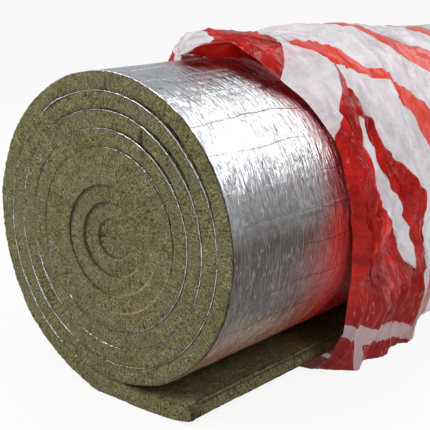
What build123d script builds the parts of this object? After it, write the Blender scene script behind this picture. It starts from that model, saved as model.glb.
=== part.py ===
from build123d import *
import math
import os

# Insulation roll: a stone-wool mat with foil facing, wound up and half pulled out of its film sleeve.
# All sizes are in millimetres. The roll's axis runs along Y, and its bare end looks towards -Y.

# The mat
ROLL_LENGTH = 1000.0        # width of the mat, which is the length of the roll
MAT_THICKNESS = 30.0        # the mat before it is wound
WINDING_PRESS = 1.0         # how much the winding presses each turn
OUTER_RADIUS = 268.0        # the outermost turn, at the roll's left side
SAG = 4.5                   # how much less high than wide a turn lies under its own weight
CORE_RADIUS = 30.0          # the turns' line ends before it is this near to the closed middle
DISH_RADIUS = 105.0         # the middle turns sit back from the bare end, and stand out behind
DISH_DEPTH = 16.0
DISH_MIDDLE = 30.0          # radius of the flat middle of the dish

# The loose end of the outermost turn, which lies on the floor
TAIL_REACH = 169.0          # from below the roll's axis to the cut edge
TAIL_FLAT = 75.0            # where it starts to lift
TAIL_LIFT = 11.0            # how far the cut edge lifts
TAIL_EDGE = 23.0            # thickness of the cut edge
TAIL_SLANT = 6.0            # how far the cut edge leans back towards the roll
TAIL_MIDDLE = 27.5          # thickness between the nip and the cut edge
TAIL_MIDDLE_AT = 45.0
NIP_AT = -40.0              # where the roll and its loose end part
FOOT_LEFT = -42.0           # left end of the stretch that lies flat
FOOT_TOUCH = -95.0          # where that stretch leaves the round outline
FOOT_RADIUS = 60.0
ROUND_CLEAR = 2.0           # the round outline would end this far over the floor

# The foil facing
FOIL = 0.4                  # drawn thicker than the real 0.1
FOIL_EDGE = 10.0            # how deep the foil is drawn between the turns
TURN_GAP = 0.8              # open line outside each edge of the foil

# The film sleeve
FILM = 0.8                  # drawn thicker than the real 0.1
FILM_SLACK = 6.0            # how far the film stands off the roll
MOUTH = 288.0               # from the bare end to the sleeve's mouth, at the right
MOUTH_LEAN = 6.0            # degrees by which the mouth leans back towards the floor
FLAP = 140.0                # how much further forward the film lies over the roll's top
FLAP_BLUNT = 10.0           # how much of its tip is missing
FLAP_FROM = 90.0            # where the mouth starts to run forward, from above the axis
FLAP_TO = 15.0              # where it is foremost
FLAP_LEFT = -110.0          # and where it is back again
FLAP_ANGLE = 92.0           # the folds follow the flap forward round this angle
FLAP_SPREAD = 22.0
SWELL_ANGLE = 88.0          # they stand highest round this one
SWELL_SPREAD = 38.0

BEND_HIGH = 40.0            # how far the folds bend back beside the flap
BEND_HIGH_ANGLE = 58.0
BEND_LOW = 80.0             # and how far low at the right
BEND_LOW_ANGLE = -33.0
BEND_SPREAD = 16.0

# Outlines of the gathered film: how far behind the mouth it is at the sides and behind the flap's tip
# over the top, how far it stands off the roll there, and how much of the bends it follows
MOUTH_EDGE = (-2.0, 4.0, 5.0, 12.0, 0.0)
FIRST_CREST = (26.0, 84.0, 28.0, 36.0, 1.0)
HOLLOW = (98.0, 212.0, 12.0, 23.0, 1.0)
SECOND_CREST = (174.0, 358.0, 30.0, 30.0, 1.0)
SIDES_SMOOTH = (226.0, 452.0, 9.0, 26.0, 0.6)
TOP_SMOOTH = (412.0, 572.0, 6.0, 6.0, 0.0)
GATHERS = [MOUTH_EDGE, FIRST_CREST, HOLLOW, SECOND_CREST, SIDES_SMOOTH, TOP_SMOOTH]

# The slack film at the floor, and the closed end
POUCH = 84.0                # slack film that spreads on the floor beside the loose end
POUCH_ANGLE = -53.0
POUCH_FLAT = 0.6            # how much lower the folds are there, as a share
TAIL_WRAP = 60.0            # the film round the loose end, further back
TAIL_WRAP_ANGLE = -56.0
POUCH_SPREAD = 17.0
REAR_CLOSE = 28.0           # how far the closed end stands behind the roll
REAR_ROUND = [(0.3, 0.86), (0.08, 0.45)]    # how the closed end rounds in: share left, size
REAR_GATHER = 0.12          # width of the gathered middle of the closed end, as a share
AROUND = 24                 # sides of one outline of the film

PITCH = MAT_THICKNESS - WINDING_PRESS
STEP = PITCH / 2                                         # how much a half turn is smaller than the last
HALF_TURNS = int((OUTER_RADIUS - CORE_RADIUS) / STEP) + 1
LINE_TURNS = int((OUTER_RADIUS - DISH_RADIUS) / STEP) - 1    # the foil's edges end outside the dish
FLOOR = FILM                                             # the roll lies on the film
LEFT_AXIS = FLOOR + ROUND_CLEAR + OUTER_RADIUS - SAG     # height of the left half turns' centre
RIGHT_AXIS = LEFT_AXIS + STEP                            # and of the right ones'
AXIS = (LEFT_AXIS + RIGHT_AXIS) / 2
BEHIND = ROLL_LENGTH + REAR_CLOSE
FRONT = MOUTH - FLAP                                     # the foremost edge of the film


def half_turn(index, inset=0.0, start=0.0, end=1.0):
    """One half turn, clockwise from the bottom or the top, between two shares of its angle."""
    width = OUTER_RADIUS - index * STEP - inset
    on_left = index % 2 == 0
    return EllipticalCenterArc(
        (0, LEFT_AXIS if on_left else RIGHT_AXIS),
        width,
        width - SAG,
        start_angle=(270.0 if on_left else 90.0) - 180.0 * start,
        arc_size=-180.0 * (end - start),
    )


def share_at(index, x, inset=0.0):
    """The share of a left half turn, from its lowest point, at which it reaches x."""
    width = OUTER_RADIUS - index * STEP - inset
    return math.degrees(math.asin(-x / width)) / 180.0


def upright(shape):
    """Stands an outline, drawn with X across and Y up, in the plane of the bare end."""
    return Rot(90, 0, 0) * shape


def prism(face, start, end):
    """The solid behind an outline, between two distances from the bare end."""
    return Pos(0, start, 0) * extrude(upright(face), amount=end - start, dir=(0, 1, 0))


def outer_face(inset):
    """The mat's outer face from the cut edge round to the nip, that far inside the foil's face."""
    level = FLOOR + inset
    tip = (TAIL_REACH, level + TAIL_LIFT)
    lift_half = (TAIL_REACH - TAIL_FLAT) / 2
    middle = (TAIL_FLAT + lift_half, level + TAIL_LIFT / 4)
    side = half_turn(0, inset, share_at(0, FOOT_TOUCH, inset))
    foot = FilletPolyline(
        (TAIL_FLAT, level), (FOOT_LEFT, level), side @ 0, radius=FOOT_RADIUS - inset
    )
    return [
        ThreePointArc(tip, middle, (TAIL_FLAT, level)),
        *foot.edges(),
        side,
        half_turn(1, inset),
        half_turn(2, inset, 0.0, share_at(2, NIP_AT, inset)),
    ]


def mat_outline():
    """The mat's section, with the nip between the roll and its loose end."""
    face = outer_face(FOIL)
    tip = face[0] @ 0
    nip = face[-1] @ 1
    cut_top = (TAIL_REACH - TAIL_SLANT, tip.Y + TAIL_EDGE)
    under_nip = (nip.X, nip.Y - FOIL - TURN_GAP)
    middle = (TAIL_MIDDLE_AT, FLOOR + FOIL + TAIL_MIDDLE)
    return make_face(
        Wire([
            *face,
            Line(nip, under_nip),
            ThreePointArc(under_nip, middle, cut_top),
            Line(cut_top, tip),
        ])
    )


def ribbon(edges_out, edges_in):
    """The face between two runs of edges that start and end beside each other."""
    return make_face(
        Wire([
            *edges_out,
            Line(edges_out[-1] @ 1, edges_in[-1] @ 1),
            *edges_in,
            Line(edges_in[0] @ 0, edges_out[0] @ 0),
        ])
    )


def inner_turns(inset, last):
    """The turns inside the nip, as far in as the last half turn."""
    first = half_turn(2, inset, share_at(2, NIP_AT, inset))
    return [first, *(half_turn(index, inset) for index in range(3, last))]


def dish(start):
    """The cone by which the middle turns are pushed back, from the plane of one end."""
    cone = Cone(
        DISH_RADIUS, DISH_MIDDLE, DISH_DEPTH, align=(Align.CENTER, Align.CENTER, Align.MIN)
    )
    return Pos(0, start, AXIS) * Rot(-90, 0, 0) * cone


def wool_mat():
    """The wool, wound into one solid, with the line of its turns cut into both ends."""
    roll = prism(mat_outline(), 0, ROLL_LENGTH) + dish(ROLL_LENGTH) - dish(0)
    front = ribbon(inner_turns(-TURN_GAP, HALF_TURNS), inner_turns(FOIL, HALF_TURNS))
    rear = ribbon(inner_turns(-TURN_GAP, LINE_TURNS), inner_turns(FOIL, LINE_TURNS))
    roll -= prism(front, -TURN_GAP, DISH_DEPTH + FOIL_EDGE)
    return roll - prism(rear, ROLL_LENGTH - FOIL_EDGE, ROLL_LENGTH + DISH_DEPTH)


def foil_facing():
    """The foil on the mat's outer face, and its edges between the turns at the bare end."""
    skin = prism(ribbon(outer_face(0.0), outer_face(FOIL)), 0, ROLL_LENGTH)
    line = ribbon(inner_turns(0.0, LINE_TURNS), inner_turns(FOIL, LINE_TURNS))
    return skin + (prism(line, 0, FOIL_EDGE) - dish(0))


def bump(angle, centre, spread):
    """A smooth rise from 0 to 1 and back, round one angle."""
    off = (angle - centre + 180.0) % 360.0 - 180.0
    return math.exp(-((off / spread) ** 2))


def roll_reach(angle):
    """The distance from the roll's axis to its outside at an angle from +X."""
    c, s = math.cos(math.radians(angle)), math.sin(math.radians(angle))
    width = OUTER_RADIUS if c < 0 else OUTER_RADIUS - STEP
    height = AXIS - FLOOR if s < 0 else OUTER_RADIUS - SAG
    return width * height / math.hypot(height * c, width * s)


def between(first, last, share):
    """The value that far on the way from one value to another."""
    return first + (last - first) * share


def pouch_reach(angle, y):
    """How much further the slack film reaches at the floor, that far from the bare end."""
    smooth = TOP_SMOOTH[1]
    gathered = min(max(1.0 - (y - FRONT) / smooth, 0.0), 1.0) ** 0.5
    reach = between(TAIL_WRAP, POUCH, gathered)
    return reach * bump(angle, between(TAIL_WRAP_ANGLE, POUCH_ANGLE, gathered), POUCH_SPREAD)


def film_outline(place, stand_off, inset, size=1.0):
    """One closed outline of the sleeve.

    place and stand_off give, at an angle, how far it is from the bare end and off the roll.
    """
    points = []
    for step in range(AROUND):
        angle = 360.0 * (step + 0.5) / AROUND
        y = place(angle)
        reach = roll_reach(angle) + stand_off(angle) + pouch_reach(angle, y) - inset
        c, s = math.cos(math.radians(angle)), math.sin(math.radians(angle))
        points.append((reach * size * c, y, AXIS + reach * size * s))
    return Wire.make_polygon(points)


def level_outline(y, inset, size=1.0):
    """An outline all of which is that far from the bare end, with the plain slack."""
    return film_outline(lambda angle: y, lambda angle: FILM_SLACK, inset, size)


def gathered_outline(gather, inset):
    """An outline along one fold or hollow of the gathered film."""
    behind_mouth, behind_tip, side, top, bend = gather

    def place(angle):
        """Further forward over the top, where the folds follow the flap, and back where they bend."""
        over = bump(angle, FLAP_ANGLE, FLAP_SPREAD)
        high = BEND_HIGH * bump(angle, BEND_HIGH_ANGLE, BEND_SPREAD)
        low = BEND_LOW * bump(angle, BEND_LOW_ANGLE, BEND_SPREAD)
        return between(MOUTH + behind_mouth, FRONT + behind_tip, over) + bend * (high + low)

    def stand_off(angle):
        """Higher over the top, and lower at the floor."""
        height = between(side, top, bump(angle, SWELL_ANGLE, SWELL_SPREAD))
        return height * (1.0 - POUCH_FLAT * bump(angle, POUCH_ANGLE, POUCH_SPREAD))

    return film_outline(place, stand_off, inset)


def film_body(inset):
    """The space inside the film's outside, or inside its inside."""
    rear = BEHIND - inset
    outlines = [level_outline(FRONT, inset)]
    outlines += [gathered_outline(gather, inset) for gather in GATHERS]
    outlines += [level_outline(rear - REAR_CLOSE, inset)]
    outlines += [level_outline(rear - REAR_CLOSE * left, inset, size) for left, size in REAR_ROUND]
    outlines += [level_outline(rear, inset, REAR_GATHER)]
    return Solid.make_loft(outlines, ruled=True)


def above(level):
    """A block that holds all of the sleeve from that height up."""
    side = 4 * OUTER_RADIUS
    block = Box(side, 2 * BEHIND, side, align=(Align.CENTER, Align.CENTER, Align.MIN))
    return Pos(0, BEHIND / 2, level) * block


def faces_front(face):
    """Whether a face is flat and looks towards the bare end."""
    return face.geom_type == GeomType.PLANE and face.normal_at().Y < -0.5


def film_tube():
    """The whole thin sleeve, with its foremost edge all the way round."""
    bodies = [film_body(0.0) & above(0.0), film_body(FILM) & above(FILM)]
    mouths = [body.faces().sort_by(Axis.Y).filter_by(faces_front)[0] for body in bodies]
    rim = Face(mouths[0].outer_wire(), [mouths[1].outer_wire()])
    walls = [
        face
        for body, mouth in zip(bodies, mouths)
        for face in body.faces()
        if not face.is_same(mouth)
    ]
    return Solid(Shell([*walls, rim]))


def mouth_cut():
    """What the mouth leaves open: a leaning block, without the flap over the roll's top."""
    side = 2 * OUTER_RADIUS
    block = Pos(0, -side / 2, 0) * Box(2 * side, side, 3 * side)
    flap = Polyline(
        (FLAP_FROM, MOUTH), (FLAP_TO, FRONT + FLAP_BLUNT), (FLAP_LEFT, MOUTH), close=True
    )
    over_top = extrude(make_face(flap), amount=side, dir=(0, 0, 1))
    return Pos(0, MOUTH, AXIS) * Rot(MOUTH_LEAN, 0, 0) * block - Pos(0, 0, AXIS) * over_top


def film_sleeve():
    """The film, gathered behind its mouth, slack on the floor and closed behind the roll."""
    return film_tube() - mouth_cut()


def save(nodes):
    """Puts the origin under the middle of the whole and writes one file for each piece."""
    box = Compound(list(nodes.values())).bounding_box()
    shift = Pos(-box.center().X, -box.center().Y, -box.min.Z)
    os.makedirs("parts", exist_ok=True)
    for name, solid in nodes.items():
        export_step(shift * solid, f"parts/{name}.step")
        print(name, "volume", round(solid.volume / 1e6, 3), "litres")
    print("size", box.size, "shift", shift.position)


save({
    "wool_mat": wool_mat(),
    "foil_facing": foil_facing(),
    "film_sleeve": film_sleeve(),
})
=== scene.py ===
import logging
import math
from collections.abc import Sequence
from dataclasses import dataclass
from enum import Enum

import bpy
import numpy as np
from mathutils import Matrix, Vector, noise


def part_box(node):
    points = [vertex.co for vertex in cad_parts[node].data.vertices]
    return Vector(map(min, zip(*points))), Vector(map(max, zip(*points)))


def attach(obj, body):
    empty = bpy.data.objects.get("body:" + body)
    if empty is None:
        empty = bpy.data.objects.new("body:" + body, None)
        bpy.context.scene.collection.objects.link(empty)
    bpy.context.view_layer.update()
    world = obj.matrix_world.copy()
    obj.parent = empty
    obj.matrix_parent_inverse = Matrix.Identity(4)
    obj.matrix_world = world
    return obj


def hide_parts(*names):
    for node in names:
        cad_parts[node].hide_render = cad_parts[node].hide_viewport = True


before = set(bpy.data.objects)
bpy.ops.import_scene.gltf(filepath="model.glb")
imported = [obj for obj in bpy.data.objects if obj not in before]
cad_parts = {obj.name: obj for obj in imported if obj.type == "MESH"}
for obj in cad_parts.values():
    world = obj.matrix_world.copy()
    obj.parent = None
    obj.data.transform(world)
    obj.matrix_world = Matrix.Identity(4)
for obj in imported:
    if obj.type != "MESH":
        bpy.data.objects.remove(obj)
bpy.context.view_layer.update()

# A roll of foil-faced stone wool, half pulled out of its film sleeve.
# Local places are in metres: X from the roll's axis, Y from the bare end, Z from the floor.

log = logging.getLogger("insulation_roll")

Socket = bpy.types.NodeSocket
Material = bpy.types.Material
Colour = tuple[float, float, float]
Place = tuple[float, float, float]
Faces = list[tuple[int, ...]]
Traits = dict["Trait", np.ndarray]
Table = tuple[tuple[float, float], ...]     # angles, and the value at each
Band = tuple[Table, Table]                  # where a band starts and where it ends, by angle
Shell = tuple[np.ndarray, Faces, Traits]

ROLL_LENGTH = 1.0
FOIL = 0.0004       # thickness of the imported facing
FILM = 0.0008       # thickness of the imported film


class Slot(Enum):
    """The record's material slots."""

    WOOL = "wool"
    FOIL = "foil"
    FILM = "film"


class Trait(Enum):
    """The names of what the meshes tell the materials about each point."""

    GRAIN = "grain"
    SHEET = "sheet"
    MARK = "mark"
    # On the foil this carries the film's painted red reflection; on the film it also carries painted shade
    # near the floor and under the turned hem.
    LAYERS = "layers"


def places(*parts: np.ndarray | float) -> np.ndarray:
    """Points from their separate coordinates, which are spread to one shape."""
    return np.stack(np.broadcast_arrays(*parts), axis=-1)


def cloud(points: np.ndarray, size: float, seed: float = 0.0) -> np.ndarray:
    """Smooth noise at each point.

    Args:
        points: places, in metres, one in each row.
        size: how large a blob of the noise is, in metres.
        seed: picks another pattern.

    Returns:
        Values from about -1 to 1, in the shape of points without its last axis.
    """
    flat = (points.reshape(-1, 3) / size + (seed * 7.31, seed * 3.17, seed * 5.73)).tolist()
    values = np.fromiter((noise.noise(place) for place in flat), float, len(flat))
    return values.reshape(points.shape[:-1])


def ridge(points: np.ndarray, size: float, seed: float = 0.0) -> np.ndarray:
    """Noise with sharp crests, from about -1 to 1.

    Args:
        points: places, in metres, one in each row.
        size: how far apart the crests are, in metres.
        seed: picks another pattern.

    Returns:
        Values in the shape of points without its last axis.
    """
    return 1.0 - 3.0 * np.abs(cloud(points, size, seed))


def bump(value: np.ndarray, centre: float, spread: float) -> np.ndarray:
    """A smooth rise from 0 to 1 and back, round one value."""
    return np.exp(-(((value - centre) / spread) ** 2))


def angle_bump(angle: np.ndarray, centre: float, spread: float) -> np.ndarray:
    """A smooth rise from 0 to 1 and back, round one angle in degrees."""
    return bump((angle - centre + 180.0) % 360.0 - 180.0, 0.0, spread)


def ease(value: np.ndarray, start: float, end: float) -> np.ndarray:
    """A smooth step from 0 at start to 1 at end, which may be the lower one."""
    share = np.clip((value - start) / (end - start), 0.0, 1.0)
    return share * share * (3.0 - 2.0 * share)


@dataclass(frozen=True)
class Ripple:
    """One layer of unevenness: how high and how large its blobs are, and the seed of its pattern."""

    height: float
    size: float
    seed: float
    sharp: bool = False

    def at(self, points: np.ndarray) -> np.ndarray:
        """The layer's height at each point."""
        pattern = ridge if self.sharp else cloud
        return self.height * pattern(points, self.size, self.seed)


def uneven(points: np.ndarray, ripples: Sequence[Ripple]) -> np.ndarray:
    """Several layers of unevenness together, at each point."""
    return sum(ripple.at(points) for ripple in ripples)


@dataclass(frozen=True)
class Stretch:
    """A stretch of some turns: round an angle in degrees, faded between pairs of half turns."""

    centre: float
    spread: float
    fades: tuple[tuple[float, float], ...]

    def share(self, angle: np.ndarray, where: np.ndarray) -> np.ndarray:
        """How far each place is in the stretch, from 0 to 1."""
        value = angle_bump(angle, self.centre, self.spread)
        for start, end in self.fades:
            value = value * ease(where, start, end)
        return value


def grid_faces(rows: int, columns: int, first: int = 0) -> Faces:
    """The quads of a grid whose points are numbered row by row.

    Args:
        rows: how many rows of points there are.
        columns: how many points there are in a row.
        first: the number of the first point.

    Returns:
        One tuple of point numbers for each quad.
    """
    return [
        (at, at + 1, at + columns + 1, at + columns)
        for row in range(rows - 1)
        for at in range(first + row * columns, first + (row + 1) * columns - 1)
    ]


def lengths_along(line: np.ndarray) -> np.ndarray:
    """The length of a line of points up to each of them."""
    return np.concatenate([[0.0], np.cumsum(np.linalg.norm(np.diff(line, axis=0), axis=1))])


def resample(line: np.ndarray, spacing: float) -> np.ndarray:
    """Points at even distances along a line of points.

    Args:
        line: the points, one in each row.
        spacing: about how far apart the new ones are.

    Returns:
        The new points, with both ends kept.
    """
    along = lengths_along(line)
    wanted = np.linspace(0.0, along[-1], max(2, round(along[-1] / spacing) + 1))
    return np.stack([np.interp(wanted, along, line[:, axis]) for axis in (0, 1)], axis=1)


def normals_of(line: np.ndarray) -> np.ndarray:
    """The unit normals of a line in the plane of the bare end, on its left side as it runs."""
    run = np.gradient(line, axis=0)
    run /= np.linalg.norm(run, axis=1)[:, None] + 1e-12
    return np.stack([-run[:, 1], run[:, 0]], axis=1)


@dataclass(frozen=True)
class Winding:
    """The mat's section, seen from the bare end."""

    outer_radius: float = 0.268
    sag: float = 0.0045
    pitch: float = 0.029
    round_clear: float = 0.002
    tail_reach: float = 0.169
    tail_flat: float = 0.075
    tail_lift: float = 0.011
    tail_edge: float = 0.023
    tail_slant: float = 0.006
    tail_middle: float = 0.0275
    tail_middle_at: float = 0.045
    nip_at: float = -0.040
    foot_left: float = -0.042
    foot_touch: float = -0.095
    foot_round: float = 0.0107
    turn_gap: float = 0.0008
    half_turns: int = 19
    dish_radius: float = 0.105
    dish_middle: float = 0.030
    dish_depth: float = 0.016
    corner_radius: float = 0.004
    worn_above: Stretch = Stretch(52.0, 42.0, ((8.6, 6.5),))
    worn_left: Stretch = Stretch(212.0, 22.0, ((9.5, 8.0),))
    torn: Stretch = Stretch(118.0, 9.0, ((4.0, 3.8),))
    worn_patches: Ripple = Ripple(0.9, 0.085, 8.0)
    parted_below: Stretch = Stretch(318.0, 34.0, ((8.5, 7.0),))
    parted_inside: Stretch = Stretch(128.0, 34.0, ((10.0, 12.0), (17.0, 15.5)))
    parted_patches: Ripple = Ripple(0.55, 0.060, 9.0)
    parted_breaks: Ripple = Ripple(1.6, 0.05, 18.0)
    # painted light on the edges of the inner turns, low on the right
    lit_edges_inside: Stretch = Stretch(305.0, 50.0, ((8.0, 10.5), (17.5, 15.0)))
    steps: Ripple = Ripple(0.0016, 0.16, 1.0)

    @property
    def step(self) -> float:
        """How much a half turn is smaller than the last."""
        return self.pitch / 2

    @property
    def left_axis(self) -> float:
        """Height of the left half turns' centre."""
        return FILM + self.round_clear + self.outer_radius - self.sag

    @property
    def axis(self) -> float:
        """Height of the roll's axis."""
        return self.left_axis + self.step / 2

    def turn(self, where: np.ndarray, inset: float) -> np.ndarray:
        """Points on the line of the foil's outside.

        Args:
            where: half turns from the bottom of the outermost left one.
            inset: how far inside the line the points lie.

        Returns:
            X and Z of each point.
        """
        index = np.floor(where)
        width = np.maximum(self.outer_radius - index * self.step - inset, 0.0006)
        height = np.maximum(width - self.sag, 0.0005)
        angle = np.radians(270.0 - 180.0 * where)
        centre = self.left_axis + (index % 2) * self.step
        return np.stack([width * np.cos(angle), centre + height * np.sin(angle)], axis=-1)

    def where_at(self, index: int, x: float) -> float:
        """Where a left half turn reaches x, near its lowest point."""
        return index + math.asin(-x / (self.outer_radius - index * self.step)) / math.pi

    def radius_at(self, where: np.ndarray) -> np.ndarray:
        """About how far from the axis the turns are."""
        return self.outer_radius - self.step * where

    def set_back(self, where: np.ndarray) -> np.ndarray:
        """How far the turns near the middle are pushed back."""
        inside = self.dish_radius - self.radius_at(where)
        return self.dish_depth * np.clip(inside / (self.dish_radius - self.dish_middle), 0.0, 1.0)

    def angle_at(self, where: np.ndarray) -> np.ndarray:
        """The angle from +X, in degrees from 0 to 360."""
        return (270.0 - 180.0 * where) % 360.0

    def worn(self, where: np.ndarray) -> np.ndarray:
        """Where the wool beside a turn's line is worn back and the foil shows, from 0 to 1."""
        line, angle = where * self.radius_at(where) * math.pi, self.angle_at(where)
        patch = np.clip(0.75 + self.worn_patches.at(places(line, where * 0.13, 0.0)), 0.0, 1.0)
        worn = self.worn_above.share(angle, where) + 0.5 * self.worn_left.share(angle, where)
        return np.clip(worn * patch + self.torn.share(angle, where), 0.0, 1.0)

    def parted(self, where: np.ndarray) -> np.ndarray:
        """How open the line between two turns is, from 0 to 1."""
        line, angle = where * self.radius_at(where) * math.pi, self.angle_at(where)
        patch = 0.30 + self.parted_patches.at(places(line, where * 0.17, 0.0))
        broken = np.clip(0.45 + self.parted_breaks.at(places(line, where * 0.31, 0.0)), 0.0, 1.0)
        lower, middle = (s.share(angle, where) for s in (self.parted_below, self.parted_inside))
        return np.clip(patch * ease(where, 10.5, 8.0) + 0.8 * lower + 0.30 * middle * broken, 0.0, 1.0)

    def lit_edges(self, where: np.ndarray) -> np.ndarray:
        """Where painted light brightens the edges along the innermost lines, low on the right, from 0 to
        1.
        """
        return self.lit_edges_inside.share(self.angle_at(where), where)

    def turn_steps(self, along: np.ndarray, where: np.ndarray) -> np.ndarray:
        """How far each turn is pushed back or stands out at the bare end.

        Args:
            along: lengths along the mat's middle line, in metres.
            where: the same places in half turns.

        Returns:
            The distances, in metres.
        """
        return self.steps.at(places(along, where * 0.11, 0.0))

    def corner(self, along: np.ndarray) -> np.ndarray:
        """How far the front corner of the loose end is rounded back, by distance from the cut edge."""
        inside = np.clip(1.0 - along / self.corner_radius, 0.0, 1.0)
        return self.corner_radius * (1.0 - np.sqrt(1.0 - inside**2))

    def under_side(self, inset: float) -> np.ndarray:
        """The underside from the cut edge to where the round outline leaves the floor."""
        level = FILM + inset
        x = np.linspace(self.tail_reach, self.tail_flat, 20)
        rise = (x - self.tail_flat) / (self.tail_reach - self.tail_flat)
        lifted = np.stack([x, level + self.tail_lift * rise**2], axis=1)
        touch = self.turn(np.array([self.where_at(0, self.foot_touch)]), inset)[0]
        corner = np.array([self.foot_left, level])
        share = np.linspace(0.0, 1.0, 9)[:, None]
        start, end = corner + (self.foot_round, 0.0), corner + 0.19 * (touch - corner)
        rounded = (1 - share) ** 2 * start + 2 * share * (1 - share) * corner + share**2 * end
        return np.concatenate([lifted, rounded, [touch]])

    def tail_top(self) -> np.ndarray:
        """The loose end's upper side, from the cut edge to the nip."""
        level = FILM + FOIL
        nip = self.turn(np.array([self.where_at(2, self.nip_at)]), -FOIL - self.turn_gap)[0]
        top = np.array([self.tail_reach - self.tail_slant, level + self.tail_lift + self.tail_edge])
        middle = np.array([self.tail_middle_at, level + self.tail_middle])
        x = np.linspace(top[0], nip[0], 40)
        z = sum(
            point[1] * (x - a[0]) * (x - b[0]) / ((point[0] - a[0]) * (point[0] - b[0]))
            for point, a, b in ((top, middle, nip), (middle, top, nip), (nip, top, middle))
        )
        return np.stack([x, z], axis=1)

    def wheres(self, start: float, end: float, spacing: float) -> np.ndarray:
        """Places along the turns, about evenly far apart.

        Args:
            start: the first place, in half turns.
            end: the last one.
            spacing: about how far apart they are, in metres.

        Returns:
            The places, in half turns.
        """
        found = [start]
        for index in range(int(start), math.ceil(end)):
            low, high = max(start, index), min(end, index + 1)
            length = math.pi * max(self.outer_radius - index * self.step, 0.006) * (high - low)
            found += list(np.linspace(low, high, max(4, round(length / spacing)) + 1)[1:])
        return np.array(found)


@dataclass
class Strip:
    """Stations along the mat, from the cut edge to the middle of the roll."""

    outer: np.ndarray
    inner: np.ndarray
    where: np.ndarray
    along: np.ndarray
    nip: int


def lay_out_strip(winding: Winding, spacing: float) -> Strip:
    """The two sides of the mat as matching points.

    Args:
        winding: the mat's section.
        spacing: about how far apart the stations are, in metres.

    Returns:
        The stations, with the number of the one at the nip.
    """
    under = winding.under_side(FOIL)
    split = int(np.argmin(np.abs(under[:, 0] - winding.nip_at)))
    tail_count = round(np.linalg.norm(under[split] - under[0]) / spacing)
    nip_where = winding.where_at(2, winding.nip_at)
    touch_where = winding.where_at(0, winding.foot_touch)
    under_count = max(4, round(np.linalg.norm(under[-1] - under[split]) / spacing))
    turns = winding.wheres(touch_where, winding.half_turns, spacing)

    def fit(line: np.ndarray, count: int) -> np.ndarray:
        """That many points along a line, without its last one."""
        return resample(line, lengths_along(line)[-1] / count)[:count]

    under_nip = np.linspace(nip_where, 2.0 + touch_where, under_count + 1)[:-1]
    gap = -winding.turn_gap
    outer = [fit(under[: split + 1], tail_count), fit(under[split:], under_count)]
    inner = [fit(winding.tail_top(), tail_count), winding.turn(under_nip, gap)]
    outer.append(winding.turn(turns, FOIL))
    inner.append(winding.turn(turns + 2.0, gap))
    outer_line, inner_line = np.concatenate(outer), np.concatenate(inner)
    where = np.concatenate([np.zeros(tail_count + under_count), turns])
    along = lengths_along((outer_line + inner_line) / 2)
    return Strip(outer_line, inner_line, where, along, tail_count)


class Workshop:
    """Makes objects in the scene, at the roll's place in the frame."""

    def __init__(self, winding: Winding) -> None:
        """Finds the roll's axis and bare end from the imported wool."""
        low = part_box("wool_mat")[0]
        self.origin = np.array([low.x + winding.outer_radius - FOIL, low.y, 0.0])

    def place(
        self,
        name: str,
        points: np.ndarray,
        faces: Sequence[tuple[int, ...]],
        traits: Traits,
        material: Material,
        slot: Slot,
        nodes: Sequence[str],
    ) -> bpy.types.Object:
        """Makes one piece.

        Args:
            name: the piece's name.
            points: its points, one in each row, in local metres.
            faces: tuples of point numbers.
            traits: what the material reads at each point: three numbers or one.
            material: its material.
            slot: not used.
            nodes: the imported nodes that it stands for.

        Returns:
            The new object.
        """
        mesh = bpy.data.meshes.new(name)
        mesh.from_pydata((points + self.origin).tolist(), [], faces)
        mesh.polygons.foreach_set("use_smooth", np.ones(len(mesh.polygons), bool))
        for trait, values in traits.items():
            three = values.ndim == 2
            kind = "FLOAT_VECTOR" if three else "FLOAT"
            layer = mesh.attributes.new(trait.value, kind, "POINT")
            layer.data.foreach_set("vector" if three else "value", values.astype(float).ravel())
        mesh.materials.append(material)
        mesh.validate()
        piece = bpy.data.objects.new(name, mesh)
        bpy.context.scene.collection.objects.link(piece)
        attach(piece, "root")
        if nodes:
            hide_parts(*nodes)
        log.info("%s: %d points, %d faces", name, len(points), len(mesh.polygons))
        return piece


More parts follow.
